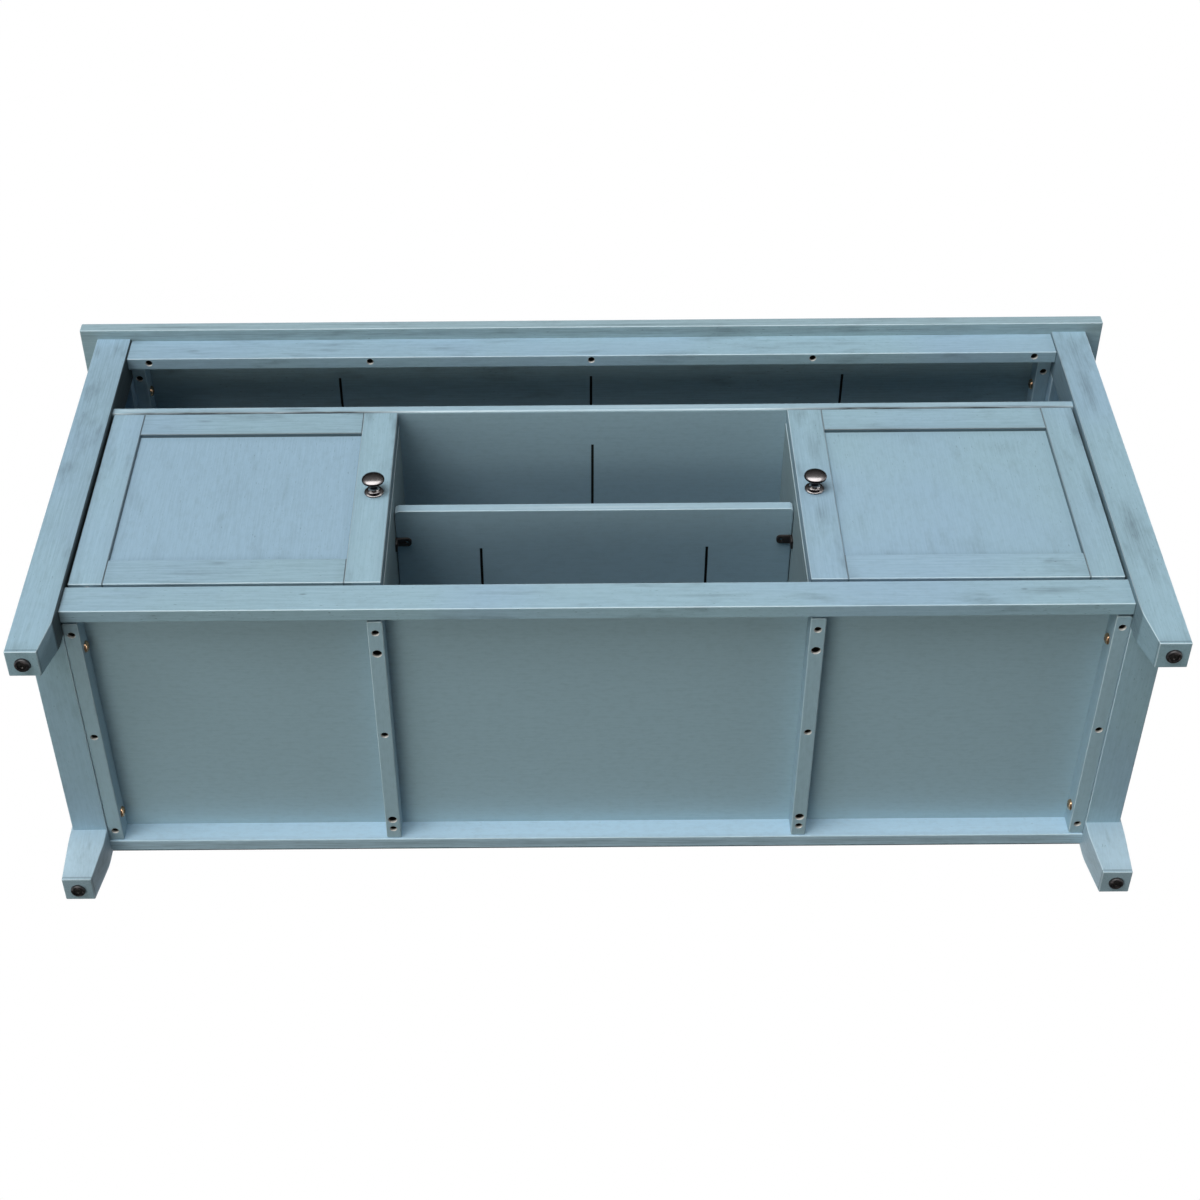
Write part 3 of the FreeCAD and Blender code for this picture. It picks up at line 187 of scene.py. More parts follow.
class CabinetStage(bpy.types.PropertyGroup):
    """Camera, lamps and surroundings."""

    camera_place: FloatVectorProperty(
        name="Camera Place", description="Where the camera stands, in front of the cabinet and under it",
        subtype="TRANSLATION", unit="LENGTH", default=(-0.02462, -1.53033, -1.47063),
    )
    camera_turn: FloatVectorProperty(
        name="Camera Turn", description="How the camera is turned", subtype="EULER",
        default=[math.radians(angle) for angle in (138.859, 0.161, 0.435)],
    )
    lens: FloatProperty(
        name="Lens", description="Focal length on a 36 mm sensor", unit="CAMERA", default=61.497
    )
    shift_x: FloatProperty(name="Shift X", description="Sideways shift of the frame", default=0.02822)
    shift_y: FloatProperty(name="Shift Y", description="Upward shift of the frame", default=-0.0022)
    key_glow: brightness("Key Glow", "Brightness of the large lamp at the front left", 4.9)
    front_glow: brightness("Front Glow", "Brightness of the lamp in front of the cabinet", 6.1)
    low_glow: brightness("Low Glow", "Brightness of the low lamp on the left", 1.85)
    floor_glow: brightness("Floor Glow", "Brightness of the lamp under the cabinet", 1.46)
    low_tint: colour("Low Tint", "Warm colour of the lamps under the cabinet", "#FFFDF1")
    top_glow: brightness("Top Glow", "Brightness of the lamp over the cabinet", 2.6)
    back_glow: brightness("Back Glow", "Brightness of the lamp behind the cabinet", 5.5)
    side_glow: brightness("Side Glow", "Brightness of the lamp on the right of the cabinet", 11.0)
    foot_glow: brightness("Foot Glow", "Brightness of the low lamp on the right", 3.0)
    ambient: brightness("Ambient", "Brightness of the surrounding light", 0.01)
    ceiling_glow: brightness("Ceiling Glow", "Brightness of the dark ceiling in reflections", 0.03)
    ceiling_front: brightness("Ceiling Front Glow", "Brightness of the ceiling's front in reflections", 0.6)
    screen_glow: brightness("Screen Glow", "Brightness of the white front screen in reflections", 3.4)
    pit_glow: brightness("Pit Glow", "Brightness of the dark pit below in reflections", 0.1)
    wall_glow: brightness("Wall Glow", "Brightness of the dark rear wall in reflections", 0.05)
    floor: colour("Floor", "Pale floor under the cabinet", "#E9EAEA")
    floor_haze: brightness("Floor Haze", "Brightness that the camera sees in the floor's own white", 0.3)
    floor_near: length("Floor Near", "How far from the middle the floor starts to turn white", 900)
    floor_far: length("Floor Far", "How far from the middle the floor is all white", 2600)


def add(tree, kind, inputs=(), **settings):
    """Add a node, set its properties, and set or link its inputs, given by name or in the node's own order.
    A node among the inputs stands for its first output."""
    made = tree.nodes.new(f"ShaderNode{kind}")
    for name, value in settings.items():
        setattr(made, name, value)
    for socket, value in inputs.items() if isinstance(inputs, dict) else enumerate(inputs):
        if isinstance(value, bpy.types.Node):
            value = value.outputs[0]
        if isinstance(value, bpy.types.NodeSocket):
            tree.links.new(value, made.inputs[socket])
        else:
            made.inputs[socket].default_value = value
    return made


def blank_material(name):
    """Start a material with an empty node tree."""
    material = bpy.data.materials.new(name)
    material.use_nodes = True
    material.node_tree.nodes.clear()
    return material, material.node_tree


def finish_material(tree, inputs):
    """End a material with one surface shader."""
    shader = add(tree, "BsdfPrincipled", inputs)
    add(tree, "OutputMaterial", (shader,))


def coats(tree, first, *layers):
    """Lay colours over a first one; each layer is an amount that varies over the surface, and a colour."""
    for amount, tone in layers:
        mixed = add(tree, "Mix", {0: amount, MIX_A: first, MIX_B: tone}, data_type="RGBA")
        first = mixed.outputs[MIX_OUT]
    return first


def coordinates(tree):
    """Places on a piece along X, Y and Z."""
    place = add(tree, "TexCoord").outputs["Object"]
    return add(tree, "SeparateXYZ", (place,)).outputs


def stretched_noise(tree, grain, along, across, detail=3.0, start=0.0):
    """Noise drawn out along a board's grain; the sizes are lengths on the board."""
    sizes = [along if grain == axis else across for axis in "XYZ"]
    place = add(tree, "TexCoord").outputs["Object"]
    mapped = add(tree, "Mapping", {
        "Vector": place, "Scale": [1 / size for size in sizes], "Location": [start] * 3,
    })
    return add(tree, "TexNoise", {"Vector": mapped, "Scale": 1.0, "Detail": detail, "Roughness": 0.6})


def edge_mask(tree):
    """One on rounded edges and nothing on flat faces, from the surface's own direction."""
    direction = add(tree, "TexCoord").outputs["Normal"]
    size = add(tree, "VectorMath", (direction,), operation="ABSOLUTE")
    parts = add(tree, "SeparateXYZ", (size,)).outputs
    wide = add(tree, "Math", (parts[0], parts[1]), operation="MAXIMUM")
    widest = add(tree, "Math", (wide, parts[2]), operation="MAXIMUM")
    return add(tree, "MapRange", (widest, *EDGE_SPAN))


def joint_masks(tree, joints, line):
    """Distance on a board from its nearest joint, and the dark lines of glaze and painted shade in the
    joints.
    A joint is an axis, a place on it and a strength."""
    parts = coordinates(tree)
    nearest = lines = None
    for axis, spot, strength in joints:
        offset = add(tree, "Math", (parts[axis], spot), operation="SUBTRACT")
        away = add(tree, "Math", (offset,), operation="ABSOLUTE")
        stripe = add(tree, "MapRange", (away, 1.3 * line, 0.7 * line, 0.0, strength))
        if nearest:
            away = add(tree, "Math", (nearest, away), operation="MINIMUM")
            stripe = add(tree, "Math", (lines, stripe), operation="MAXIMUM")
        nearest, lines = away, stripe
    return nearest, lines


def bore_mask(tree, bores):
    """One inside the drilled holes; a bore is the place of its upright axis, and its radius."""
    place = add(tree, "TexCoord").outputs["Object"]
    flat = add(tree, "VectorMath", (place, (1, 1, 0)), operation="MULTIPLY")
    inside = None
    for x, y, radius in bores:
        away = add(tree, "VectorMath", (flat, (x, y, 0)), operation="DISTANCE").outputs["Value"]
        hit = add(tree, "Math", (away, radius), operation="LESS_THAN")
        if inside:
            hit = add(tree, "Math", (inside, hit), operation="MAXIMUM")
        inside = hit
    return inside


def kerf_mask(tree, node):
    """One inside the saw kerfs under a board, found from the corners of their roofs."""
    match, slack, brim = 0.05 * MM, 0.1 * MM, 0.3 * MM
    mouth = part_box(node)[0].z
    roof = mouth + bpy.context.scene.cabinet_paint.kerf_depth
    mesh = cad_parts[node].data
    corners = [vertex.co for vertex in mesh.vertices if abs(vertex.co.z - roof) < match]
    edges = sorted({round(corner.x, 5) for corner in corners})
    start = min(corner.y for corner in corners)
    parts = coordinates(tree)
    inside = add(tree, "Math", (parts[1], start - slack), operation="GREATER_THAN")
    for limit, way in ((mouth + brim, "GREATER_THAN"), (roof + brim, "LESS_THAN")):
        level = add(tree, "Math", (parts[2], limit), operation=way)
        inside = add(tree, "Math", (inside, level), operation="MULTIPLY")
    across = None
    for left, right in zip(edges[::2], edges[1::2]):
        middle, reach = (left + right) / 2, (right - left) / 2 + slack
        band = add(tree, "Math", (parts[0], middle, reach), operation="COMPARE")
        if across:
            band = add(tree, "Math", (across, band), operation="MAXIMUM")
        across = band
    return add(tree, "Math", (inside, across), operation="MULTIPLY")


def mark_mask(tree, grain, streak, centre, along, across, amount):
    """A soft oval round a mark's centre, broken up by the brush streaks."""
    reach = [(along if grain == axis else across) * MM for axis in "XYZ"]
    place = add(tree, "TexCoord").outputs["Object"]
    mapped = add(tree, "Mapping", {
        "Vector": place, "Scale": [1 / size for size in reach],
        "Location": [-spot * MM / size for spot, size in zip(centre, reach)],
    })
    away = add(tree, "VectorMath", (mapped,), operation="LENGTH").outputs["Value"]
    patch = add(tree, "MapRange", (away, 1.0, 0.0, 0.0, amount), interpolation_type="SMOOTHSTEP")
    broken = add(tree, "MapRange", (streak, *BREAK_SPAN, 1.0, 0.45))
    return add(tree, "Math", (patch, broken), operation="MULTIPLY")


def painted_wood(node, grain, coat, joints=(), bores=()):
    """Wood that was brush-painted and wiped with an antique glaze. It gives the eye a satin blue with
    streaks along the grain, soft smudges and flecks, dark lines of glaze with painted shade in the joints and
    gaps, pale rubbed edges that are also a painted highlight, marks of painted shade and highlight, bare wood
    at the mouths of the drilled holes, and painted shade deeper in them and in the saw kerfs."""
    paint = bpy.context.scene.cabinet_paint
    smudging, flecking, streaking, tones = coat
    first, second = [getattr(paint, tone) for tone in tones]
    material, tree = blank_material(f"{node}_brushed_paint")
    # Each noise starts at another place, so that no two of them run alike
    cloud = stretched_noise(tree, grain, paint.cloud, paint.cloud, 2.0, 3.1)
    streak = stretched_noise(tree, grain, paint.streak_length, paint.streak_width)
    mottle = stretched_noise(tree, grain, 2 * paint.mottle, paint.mottle, 3.0, 7.7)

    # Patches of two tones, and thin streaks where the brush left little paint
    patches = add(tree, "MapRange", (cloud, *PATCH_SPAN))
    thin = add(tree, "MapRange", (streak, *THIN_SPAN, 0.0, THIN_COVER * streaking))
    body = coats(tree, first, (patches, second), (thin, paint.light))

    # A film of glaze in the streaks and pores, in smudges and flecks, and beside the joints
    film = add(tree, "MapRange", (streak, *FILM_SPAN, 0.0, STREAK_FILM * streaking))
    grime = add(tree, "MapRange", (mottle, *GRIME_SPAN, 0.0, PORE_FILM))
    film = add(tree, "Math", (film, grime), operation="ADD")
    if smudging:
        smudge = stretched_noise(tree, grain, paint.smudge_length, paint.smudge_width, 3.0, 1.3)
        soft = add(tree, "MapRange", (smudge, *SMUDGE_SPAN, 0.0, smudging), interpolation_type="SMOOTHSTEP")
        film = add(tree, "Math", (film, soft), operation="ADD")
    if flecking:
        fleck = stretched_noise(tree, grain, paint.fleck_length, paint.fleck_width, 1.0, 5.9)
        crowd = add(tree, "Math", (cloud, mottle), operation="MULTIPLY")
        keep = add(tree, "MapRange", (crowd, *CROWD_SPAN))
        specks = add(tree, "MapRange", (fleck, *FLECK_SPAN, 0.0, flecking))
        specks = add(tree, "Math", (specks, keep), operation="MULTIPLY")
        film = add(tree, "Math", (film, specks), operation="ADD")
    if joints:
        away, lines = joint_masks(tree, joints, paint.joint_line)
        reach = (paint.joint_fade, 0.0, 0.0, JOINT_FILM)
        fade = add(tree, "MapRange", (away, *reach), interpolation_type="SMOOTHSTEP")
        ragged = add(tree, "Math", (fade, mottle), operation="MULTIPLY")
        film = add(tree, "Math", (film, ragged), operation="ADD")

    # Rubbed edges, pale paint that is also a painted highlight, then the marks, then the dark lines of glaze
    # and painted shade in the joints
    rubbed = add(tree, "MapRange", (cloud, *RUB_AND_HIGHLIGHT_SPAN, *RUB_AND_HIGHLIGHT_COVER))
    rubbed = add(tree, "Math", (edge_mask(tree), rubbed), operation="MULTIPLY")
    body = coats(tree, body, (film, paint.glaze), (rubbed, paint.worn_and_highlit))
    for *mark, tone in MARKS.get(node, ()):
        body = coats(tree, body, (mark_mask(tree, grain, streak, *mark), getattr(paint, tone)))
    if joints:
        body = coats(tree, body, (lines, paint.joint_glaze_and_shade))

    if bores:
        # Raw wood shows at a hole's mouth, and painted shade deeper in
        pale_depth, shade_depth = 1.8 * MM, 4.2 * MM
        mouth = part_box(node)[0].z
        recess_shade = add(tree, "MapRange", (coordinates(tree)[2], mouth + pale_depth, mouth + shade_depth))
        wood = coats(tree, paint.raw_wood, (recess_shade, paint.deep_shade))
        body = coats(tree, body, (bore_mask(tree, bores), wood))
    # Painted shade fills the saw kerfs
    if node in KERFED:
        body = coats(tree, body, (kerf_mask(tree, node), paint.deep_shade))
    gloss = add(tree, "MapRange", (streak, *HAZE_SPAN, *PAINT_ROUGHNESS))
    relief = add(tree, "Bump", {"Height": streak, "Strength": 0.12, "Distance": 0.1 * MM})
    finish_material(tree, {"Base Color": body, "Roughness": gloss, "IOR": 1.5, "Normal": relief})
    return material


def knob_oxidation_shade_and_reflection(tree, axis, face, head, rim):
    """One round the rim of a knob's head, a painted dark reflection, and in the hollow under it, black
    oxidation with painted shade; alike on both knobs.
    """
    parts = coordinates(tree)
    side = add(tree, "Math", (parts[0],), operation="ABSOLUTE")
    flat = add(tree, "CombineXYZ", (side, 0.0, parts[2]))
    away = add(tree, "VectorMath", (flat, axis), operation="DISTANCE").outputs["Value"]
    # Round the rim of the head: a painted dark reflection
    edge = add(tree, "MapRange", (away, 0.93 * head, head), interpolation_type="SMOOTHSTEP")
    # In the hollow under the head: black oxidation with painted shade
    start = add(tree, "MapRange", (parts[1], face - 5.5 * MM, face - 7 * MM))
    end = add(tree, "MapRange", (parts[1], face - rim + MM, face - rim + 2 * MM))
    hollow = add(tree, "Math", (start, end), operation="MULTIPLY")
    return add(tree, "Math", (edge, hollow), operation="MAXIMUM")


def plated_metal(name, tone, roughness, wear, oxidation_shade_and_reflection=None):
    """Plated metal. It gives the eye a coloured mirror that handling has dulled in faint patches and,
    on a knob, a painted dark reflection round the rim of the head and black oxidation where no polishing
    reached, with painted shade, in the hollow under it."""
    material, tree = blank_material(name)
    patch = 3 * MM
    patches = stretched_noise(tree, "X", patch, patch, 4.0)
    dulled = add(tree, "MapRange", (patches, *DULL_SPAN, 0.0, wear))
    shade = [channel * 0.45 for channel in tone[:3]] + [1.0]
    plating = coats(tree, tone, (dulled, shade))
    if oxidation_shade_and_reflection:
        plating = coats(tree, plating, (knob_oxidation_shade_and_reflection(tree, *oxidation_shade_and_reflection), bpy.context.scene.cabinet_fittings.oxidation_shade_and_reflection))
    haze = add(tree, "MapRange", (patches, *HAZE_SPAN, 0.8 * roughness, 1.25 * roughness))
    finish_material(tree, {"Base Color": plating, "Metallic": 1.0, "Roughness": haze})
    return material


def moulded_plastic(name, tone, roughness, scuffed=0.0):
    """Injection-moulded plastic. It gives the eye an even colour with a soft sheen, the mould's fine grain,
    dusty lighter patches and, up to a height over the floor, pale scuffs."""
    material, tree = blank_material(name)
    # A mould's grain is about 0.1 mm, which is too fine to show, so it is drawn coarser
    grain, patch = 0.8 * MM, 6 * MM
    grit = stretched_noise(tree, "X", grain, grain, 2.0)
    dust = stretched_noise(tree, "X", patch, patch, 3.0)
    dusty = add(tree, "MapRange", (dust, *DUST_SPAN, 0.0, 0.06))
    pale = [min(1.0, channel + 0.12) for channel in tone[:3]] + [1.0]
    body = coats(tree, tone, (dusty, pale))
    if scuffed:
        near = add(tree, "MapRange", (coordinates(tree)[2], scuffed, 0.0))
        broken = add(tree, "MapRange", (dust, *SCUFF_SPAN, 0.0, 0.7))
        rubbed = add(tree, "Math", (near, broken), operation="MULTIPLY")
        body = coats(tree, body, (rubbed, bpy.context.scene.cabinet_fittings.scuffs))
    haze = add(tree, "MapRange", (dust, *HAZE_SPAN, 0.85 * roughness, 1.15 * roughness))
    relief = add(tree, "Bump", {"Height": grit, "Strength": 0.2, "Distance": 0.05 * MM})
    finish_material(tree, {"Base Color": body, "Roughness": haze, "IOR": 1.5, "Normal": relief})
    return material


def solids(node):
    """Boxes of the separate solids of one CAD node, in a steady order."""
    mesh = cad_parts[node].data
    spots = [tuple(round(value, 6) for value in vertex.co) for vertex in mesh.vertices]
    leader = {spot: spot for spot in spots}

    def first(spot):
        while leader[spot] != spot:
            leader[spot] = leader[leader[spot]]
            spot = leader[spot]
        return spot

    for polygon in mesh.polygons:
        corners = [first(spots[index]) for index in polygon.vertices]
        for corner in corners[1:]:
            leader[corner] = corners[0]
    groups = {}
    for spot in leader:
        groups.setdefault(first(spot), []).append(spot)
    boxes = [(Vector(map(min, *group)), Vector(map(max, *group))) for group in groups.values()]
    return sorted(boxes, key=lambda box: tuple(round(value, 4) for value in box[0]))


def give(material, *nodes):
    """Put a material on CAD nodes."""
    for node in nodes:
        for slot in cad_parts[node].material_slots:
            slot.material = material


def begin(adder, **options):
    """Add a primitive with nothing else selected, and return it."""
    bpy.ops.object.select_all(action="DESELECT")
    adder(**options)
    return bpy.context.object


def select_only(piece):
    """Select one object and make it the active one."""
    bpy.ops.object.select_all(action="DESELECT")
    piece.select_set(True)
    bpy.context.view_layer.objects.active = piece


def pick(piece, kind, test):
    """Select in edit mode the faces or edges that pass a test, and nothing else."""
    bpy.context.tool_settings.mesh_select_mode = (False, kind == "edges", kind == "faces")
    bpy.ops.mesh.select_all(action="DESELECT")
    mesh = bmesh.from_edit_mesh(piece.data)
    mesh.normal_update()
    for element in getattr(mesh, kind):
        element.select_set(test(element))
    bmesh.update_edit_mesh(piece.data)


def apply_place(piece):
    """Move a piece's place, turn and scale into its mesh."""
    select_only(piece)
    bpy.ops.object.transform_apply(location=True, rotation=True, scale=True)


def turned(name, profile, sides):
    """Turn a round piece on +Z: a disc drawn up ring by ring through pairs of height and radius."""
    height, radius = profile[0]
    piece = begin(
        bpy.ops.mesh.primitive_circle_add, vertices=sides, radius=radius, fill_type="NGON",
        location=(0, 0, height),
    )
    piece.name = name
    bpy.ops.object.mode_set(mode="EDIT")
    bpy.ops.mesh.select_all(action="SELECT")
    for next_height, next_radius in profile[1:]:
        rise, growth = next_height - height, next_radius / radius
        bpy.ops.mesh.extrude_region_move(TRANSFORM_OT_translate={"value": (0, 0, rise)})
        bpy.ops.transform.resize(value=(growth, growth, 1), center_override=(0, 0, next_height))
        height, radius = next_height, next_radius
    bpy.ops.mesh.select_all(action="SELECT")
    bpy.ops.mesh.normals_make_consistent(inside=False)
    bpy.ops.object.mode_set(mode="OBJECT")
    apply_place(piece)
    return piece


def smooth(piece, angle=35):
    """Shade a piece smooth, apart from its sharp edges."""
    select_only(piece)
    bpy.ops.object.shade_smooth_by_angle(angle=math.radians(angle))


def modify(piece, kind, **settings):
    """Add a modifier to a piece and apply it."""
    select_only(piece)
    bpy.ops.object.modifier_add(type=kind)
    modifier = piece.modifiers[-1]
    for name, value in settings.items():
        setattr(modifier, name, value)
    bpy.ops.object.modifier_apply(modifier=modifier.name)


def remove(piece):
    """Delete a helper object."""
    select_only(piece)
    bpy.ops.object.delete()


def cross_recess(piece, reach, depth, floor):
    """Cut a cross-shaped driver recess into the underside of a head, up from the floor height."""
    # The blade narrows towards its tip
    width, taper = 0.5 * reach, (0.55, 0.6, 1)
    blade = begin(bpy.ops.mesh.primitive_cube_add, size=1, location=(0, 0, floor))
    blade.scale = (2 * reach, width, 2 * depth)
    apply_place(blade)
    bpy.ops.object.mode_set(mode="EDIT")
    pick(blade, "faces", lambda face: face.normal.z > 0.9)
    bpy.ops.transform.resize(value=taper, center_override=(0, 0, floor + depth))
    bpy.ops.object.mode_set(mode="OBJECT")
    for turn in (0, 90):
        blade.rotation_euler.z = math.radians(turn)
        modify(piece, "BOOLEAN", object=blade, operation="DIFFERENCE", solver="EXACT")
    remove(blade)


def screw(name, shank, head_radius, head_height, bite, sides, pitch, recess=0.5):
    """Model one screw on +Z: under the origin a domed head with a cross recess, over it a ridged shank."""
    # Rings of the dome, as shares of the head's height and radius
    dome = ((1, 0.45), (0.88, 0.72), (0.6, 0.93), (0.3, 1))
    profile = [(-drop * head_height, share * head_radius) for drop, share in dome]
    profile += [(0, head_radius), (0, shank)]
    # Radius between the ridges, length and end radius of the point, and where a ridge's crest starts and ends
    root, point, tip = 0.74 * shank, 1.6 * shank, 0.12 * shank
    crest = (0.45 * pitch, 0.55 * pitch)
    ridges = int((bite - point - pitch) / pitch)
    for ridge in range(ridges):
        start = pitch * (ridge + 1)
        profile += [(start, root), (start + crest[0], shank), (start + crest[1], shank)]
    profile += [(bite - point, root), (bite, tip)]
    piece = turned(name, profile, sides)
    cross_recess(piece, recess * head_radius, 0.62 * head_height, -head_height)
    smooth(piece)
    return piece


def spread(pattern, name, places):
    """Copy a modelled piece to each place, each with its own mesh, and join the copies into one piece."""
    copies = []
    for place in places:
        select_only(pattern)
        bpy.ops.object.duplicate(linked=False)
        copy = bpy.context.object
        copy.matrix_world = place
        apply_place(copy)
        copies.append(copy)
    bpy.ops.object.select_all(action="DESELECT")
    for copy in copies:
        copy.select_set(True)
    bpy.context.view_layer.objects.active = copies[0]
    if len(copies) > 1:
        bpy.ops.object.join()
    joined = bpy.context.view_layer.objects.active
    remove(pattern)
    joined.name = name
    return joined


def dress(piece, body, node, slot, material):
    """Give a finished piece its material and its body, and hide the CAD node that it stands for. The slot is
    not used.
    """
    piece.data.materials.clear()
    piece.data.materials.append(material)
    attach(piece, body)
    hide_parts(node)


TURNS = {
    "+Z": Matrix.Identity(4),
    "+X": Matrix.Rotation(math.radians(90), 4, "Y"),
    "-X": Matrix.Rotation(math.radians(-90), 4, "Y"),
    "-Y": Matrix.Rotation(math.radians(90), 4, "X"),
}


def bores_of(node):
    """Screw holes that open in the underside of a CAD node, found from the screws that run up through it."""
    fittings = bpy.context.scene.cabinet_fittings
    slack = 0.06 * MM
    low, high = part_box(node)
    groups = (("panel_screws", fittings.counterbore), ("partition_screws", fittings.partition_bore))
    found = []
    for group, radius in groups:
        for start, end in solids(group):
            x, y = (start.x + end.x) / 2, (start.y + end.y) / 2
            if low.x < x < high.x and low.y < y < high.y and start.z < high.z and end.z > low.z:
                found.append((x, y, radius + slack))
    return found


# Marks that a brush, a rub or a joint left, and marks of painted shade and painted highlight: centre, half
# length along the grain and half width in mm, strength and tone; a strength over one widens the part of a
# mark that has its full tone
MARKS = {
    "top_panel": (
        ((60, -188, 551), 160, 2.5, 0.5, "glaze"),
        ((-260, -188, 556), 120, 2, 0.5, "glaze"),
        ((-480, -188, 553), 90, 4, 0.4, "glaze"),
        # Darker along the underside of the top's overhang
        ((0, -181, 547), 2500, 8, 0.3, "glaze"),
    ),
    "front_left_leg": (
        ((-556, -176, 527), 24, 4, 0.4, "glaze"),
        ((-576, -176, 521), 18, 7, 0.3, "glaze"),
        ((-562, -176, 454), 90, 22, 0.16, "glaze"),
        # Broad film of painted shade over the left side
        ((-561, -176, 330), 400, 90, 0.17, "glaze"),
    ),
    "front_right_leg": (
        ((561, -176, 439), 80, 13, 0.4, "glaze"),
        ((560, -176, 509), 45, 15, 0.28, "glaze"),
        ((562, -176, 176), 72, 17, 0.42, "glaze"),
        ((565, -176, 112), 30, 10, 0.3, "glaze"),
    ),
    "rear_left_leg": (
        ((-535, 172, 30), 70, 32, 0.45, "glaze"),
        ((-562, 152, 34), 44, 18, 0.2, "glaze"),
        ((-566, 152, 26), 12, 2.5, 0.5, "glaze"),
        ((-557, 152, 40), 18, 2.5, 0.4, "glaze"),
        ((-561, 172, 4), 5, 60, 0.3, "glaze"),
    ),
    "rear_right_leg": (
        ((535, 172, 30), 52, 32, 0.3, "glaze"),
        ((561, 152, 42), 26, 3, 0.3, "glaze"),
        ((561, 172, 4), 5, 60, 0.25, "glaze"),
    ),
    "rear_bottom_rail": (
        # Painted shade along the rail's underside
        ((0, 178, 68), 2500, 13, 0.5, "glaze"),
    ),
    "right_door_inner_stile": (
        ((242, -170, 336), 45, 12, 0.35, "glaze"),
        ((240, -170, 220), 42, 12, 0.35, "glaze"),
    ),
    "right_door_outer_stile": (
        ((535, -170, 362), 60, 9, 0.35, "glaze"),
        ((530, -170, 254), 50, 10, 0.25, "glaze"),
    ),
    "right_door_panel": (
        ((351, -170, 351), 18, 16, 0.16, "glaze"),
        ((451, -170, 335), 20, 26, 0.14, "glaze"),
        ((389, -170, 170), 18, 34, 0.14, "glaze"),
        ((279, -170, 206), 30, 14, 0.1, "glaze"),
    ),
    "left_door_panel": (
        ((-390, -170, 269), 45, 22, 0.1, "glaze"),
        # Broad film of painted shade over the left side
        ((-380, -170, 260), 400, 300, 0.08, "glaze"),
        ((-464, -170, 320), 40, 12, 0.1, "glaze"),
    ),
    "left_door_top_rail": (
        ((-435, -170, 391), 14, 4, 0.45, "glaze"),
        # Broad film of painted shade over the left side
        ((-380, -170, 385), 400, 80, 0.14, "glaze"),
    ),
    "left_door_bottom_rail": (
        # Broad film of painted shade over the left side
        ((-380, -170, 130), 400, 80, 0.18, "glaze"),
        ((-420, -170, 128), 40, 5, 0.25, "glaze"),
    ),
    "left_door_inner_stile": (
        ((-271, -170, 213), 40, 5, 0.2, "glaze"),
    ),
    "front_bottom_rail": (
        ((460, -170, 92), 60, 8, 0.4, "glaze"),
        # Broad film of painted shade over the left side
        ((-480, -170, 90), 420, 60, 0.13, "glaze"),
        ((433, -170, 94), 5, 2, 0.7, "glaze"),
        ((-297, -170, 94), 6, 2, 0.7, "glaze"),
        ((-82, -170, 94), 70, 5, 0.3, "glaze"),
        ((110, -170, 88), 90, 4, 0.25, "glaze"),
        # Pale line along the top edge: rubbed paint and painted highlight
        ((0, -170, 108), 230, 2.5, 0.8, "worn_and_highlit"),
    ),
    "front_top_rail": (
        ((-466, -174, 525), 12, 2, 0.5, "glaze"),
        # Broad film of painted shade over the left side
        ((-420, -174, 528), 520, 60, 0.12, "glaze"),
        ((-306, -174, 537), 60, 5, 0.3, "glaze"),
        ((268, -174, 531), 70, 4, 0.25, "glaze"),
    ),
    "upper_shelf": (
        # Painted shade in the gap under the shelf's edge
        ((-450, -170.2, 405.8), 150, 4, 2, "joint_glaze_and_shade"),
        ((-310, -170.2, 405.8), 150, 4, 2, "joint_glaze_and_shade"),
        ((310, -170.2, 405.8), 150, 4, 2, "joint_glaze_and_shade"),
        ((450, -170.2, 405.8), 150, 4, 2, "joint_glaze_and_shade"),
        ((-335, -170, 412), 36, 5, 0.55, "glaze"),
        ((-437, -170, 410), 100, 3, 0.3, "glaze"),
        # Pale patches of rubbed paint with painted highlight, and a line of painted highlight along the top
        # edge
        ((-520, -170, 412), 34, 3, 0.7, "worn_and_highlit"),
        ((-398, -170, 416), 60, 3, 0.6, "worn_and_highlit"),
        ((54, -170, 412), 220, 4, 0.45, "worn_and_highlit"),
        ((0, -170, 418), 2500, 2.5, 0.6, "worn_and_highlit"),
        ((415, -170, 414), 90, 4, 0.3, "worn_and_highlit"),
    ),
    "middle_shelf": (
        # Pale lines along the front edge: rubbed paint and painted highlight
        ((7, -132, 279), 200, 4, 0.5, "worn_and_highlit"),
        ((0, -132, 286), 260, 2.5, 0.7, "worn_and_highlit"),
    ),
}

# How much smudge, fleck and brush streak a coat of paint has, and its two tones
GLAZED = (0.32, 0.6, 0.75, ("cool", "green"))
PANEL = (0.18, 0.4, 0.5, ("cool", "green"))
COOL = (0.18, 0.4, 0.5, ("cool", "cool"))
PLAIN = (0.0, 0.15, 0.3, ("inner", "inner"))
# Partitions: darker paint as painted shade
PAINTED_SHADE = (0.0, 0.15, 0.3, ("shade", "shade"))
TOP = (0.3, 0.7, 1.0, ("weathered", "weathered"))
FRESH = (0.1, 0.4, 0.6, ("fresh", "fresh"))
BRIGHT = (0.05, 0.3, 0.4, ("pale", "pale"))
DARK = (0.0, 0.1, 0.3, ("stain", "stain"))
BOARDS = {
    "top_panel": ("X", TOP),
    "front_top_rail": ("X", GLAZED),
    "front_bottom_rail": ("X", GLAZED),
    "front_left_leg": ("Z", GLAZED),
    "front_right_leg": ("Z", GLAZED),
    "rear_left_leg": ("Z", FRESH),
    "rear_right_leg": ("Z", FRESH),
    "rear_bottom_rail": ("X", BRIGHT),
    "rear_top_rail": ("X", PLAIN),
    "upper_shelf": ("X", PLAIN),
    "middle_shelf": ("X", PLAIN),
    "bottom_panel": ("X", PLAIN),
    "back_panel": ("Z", DARK),
}
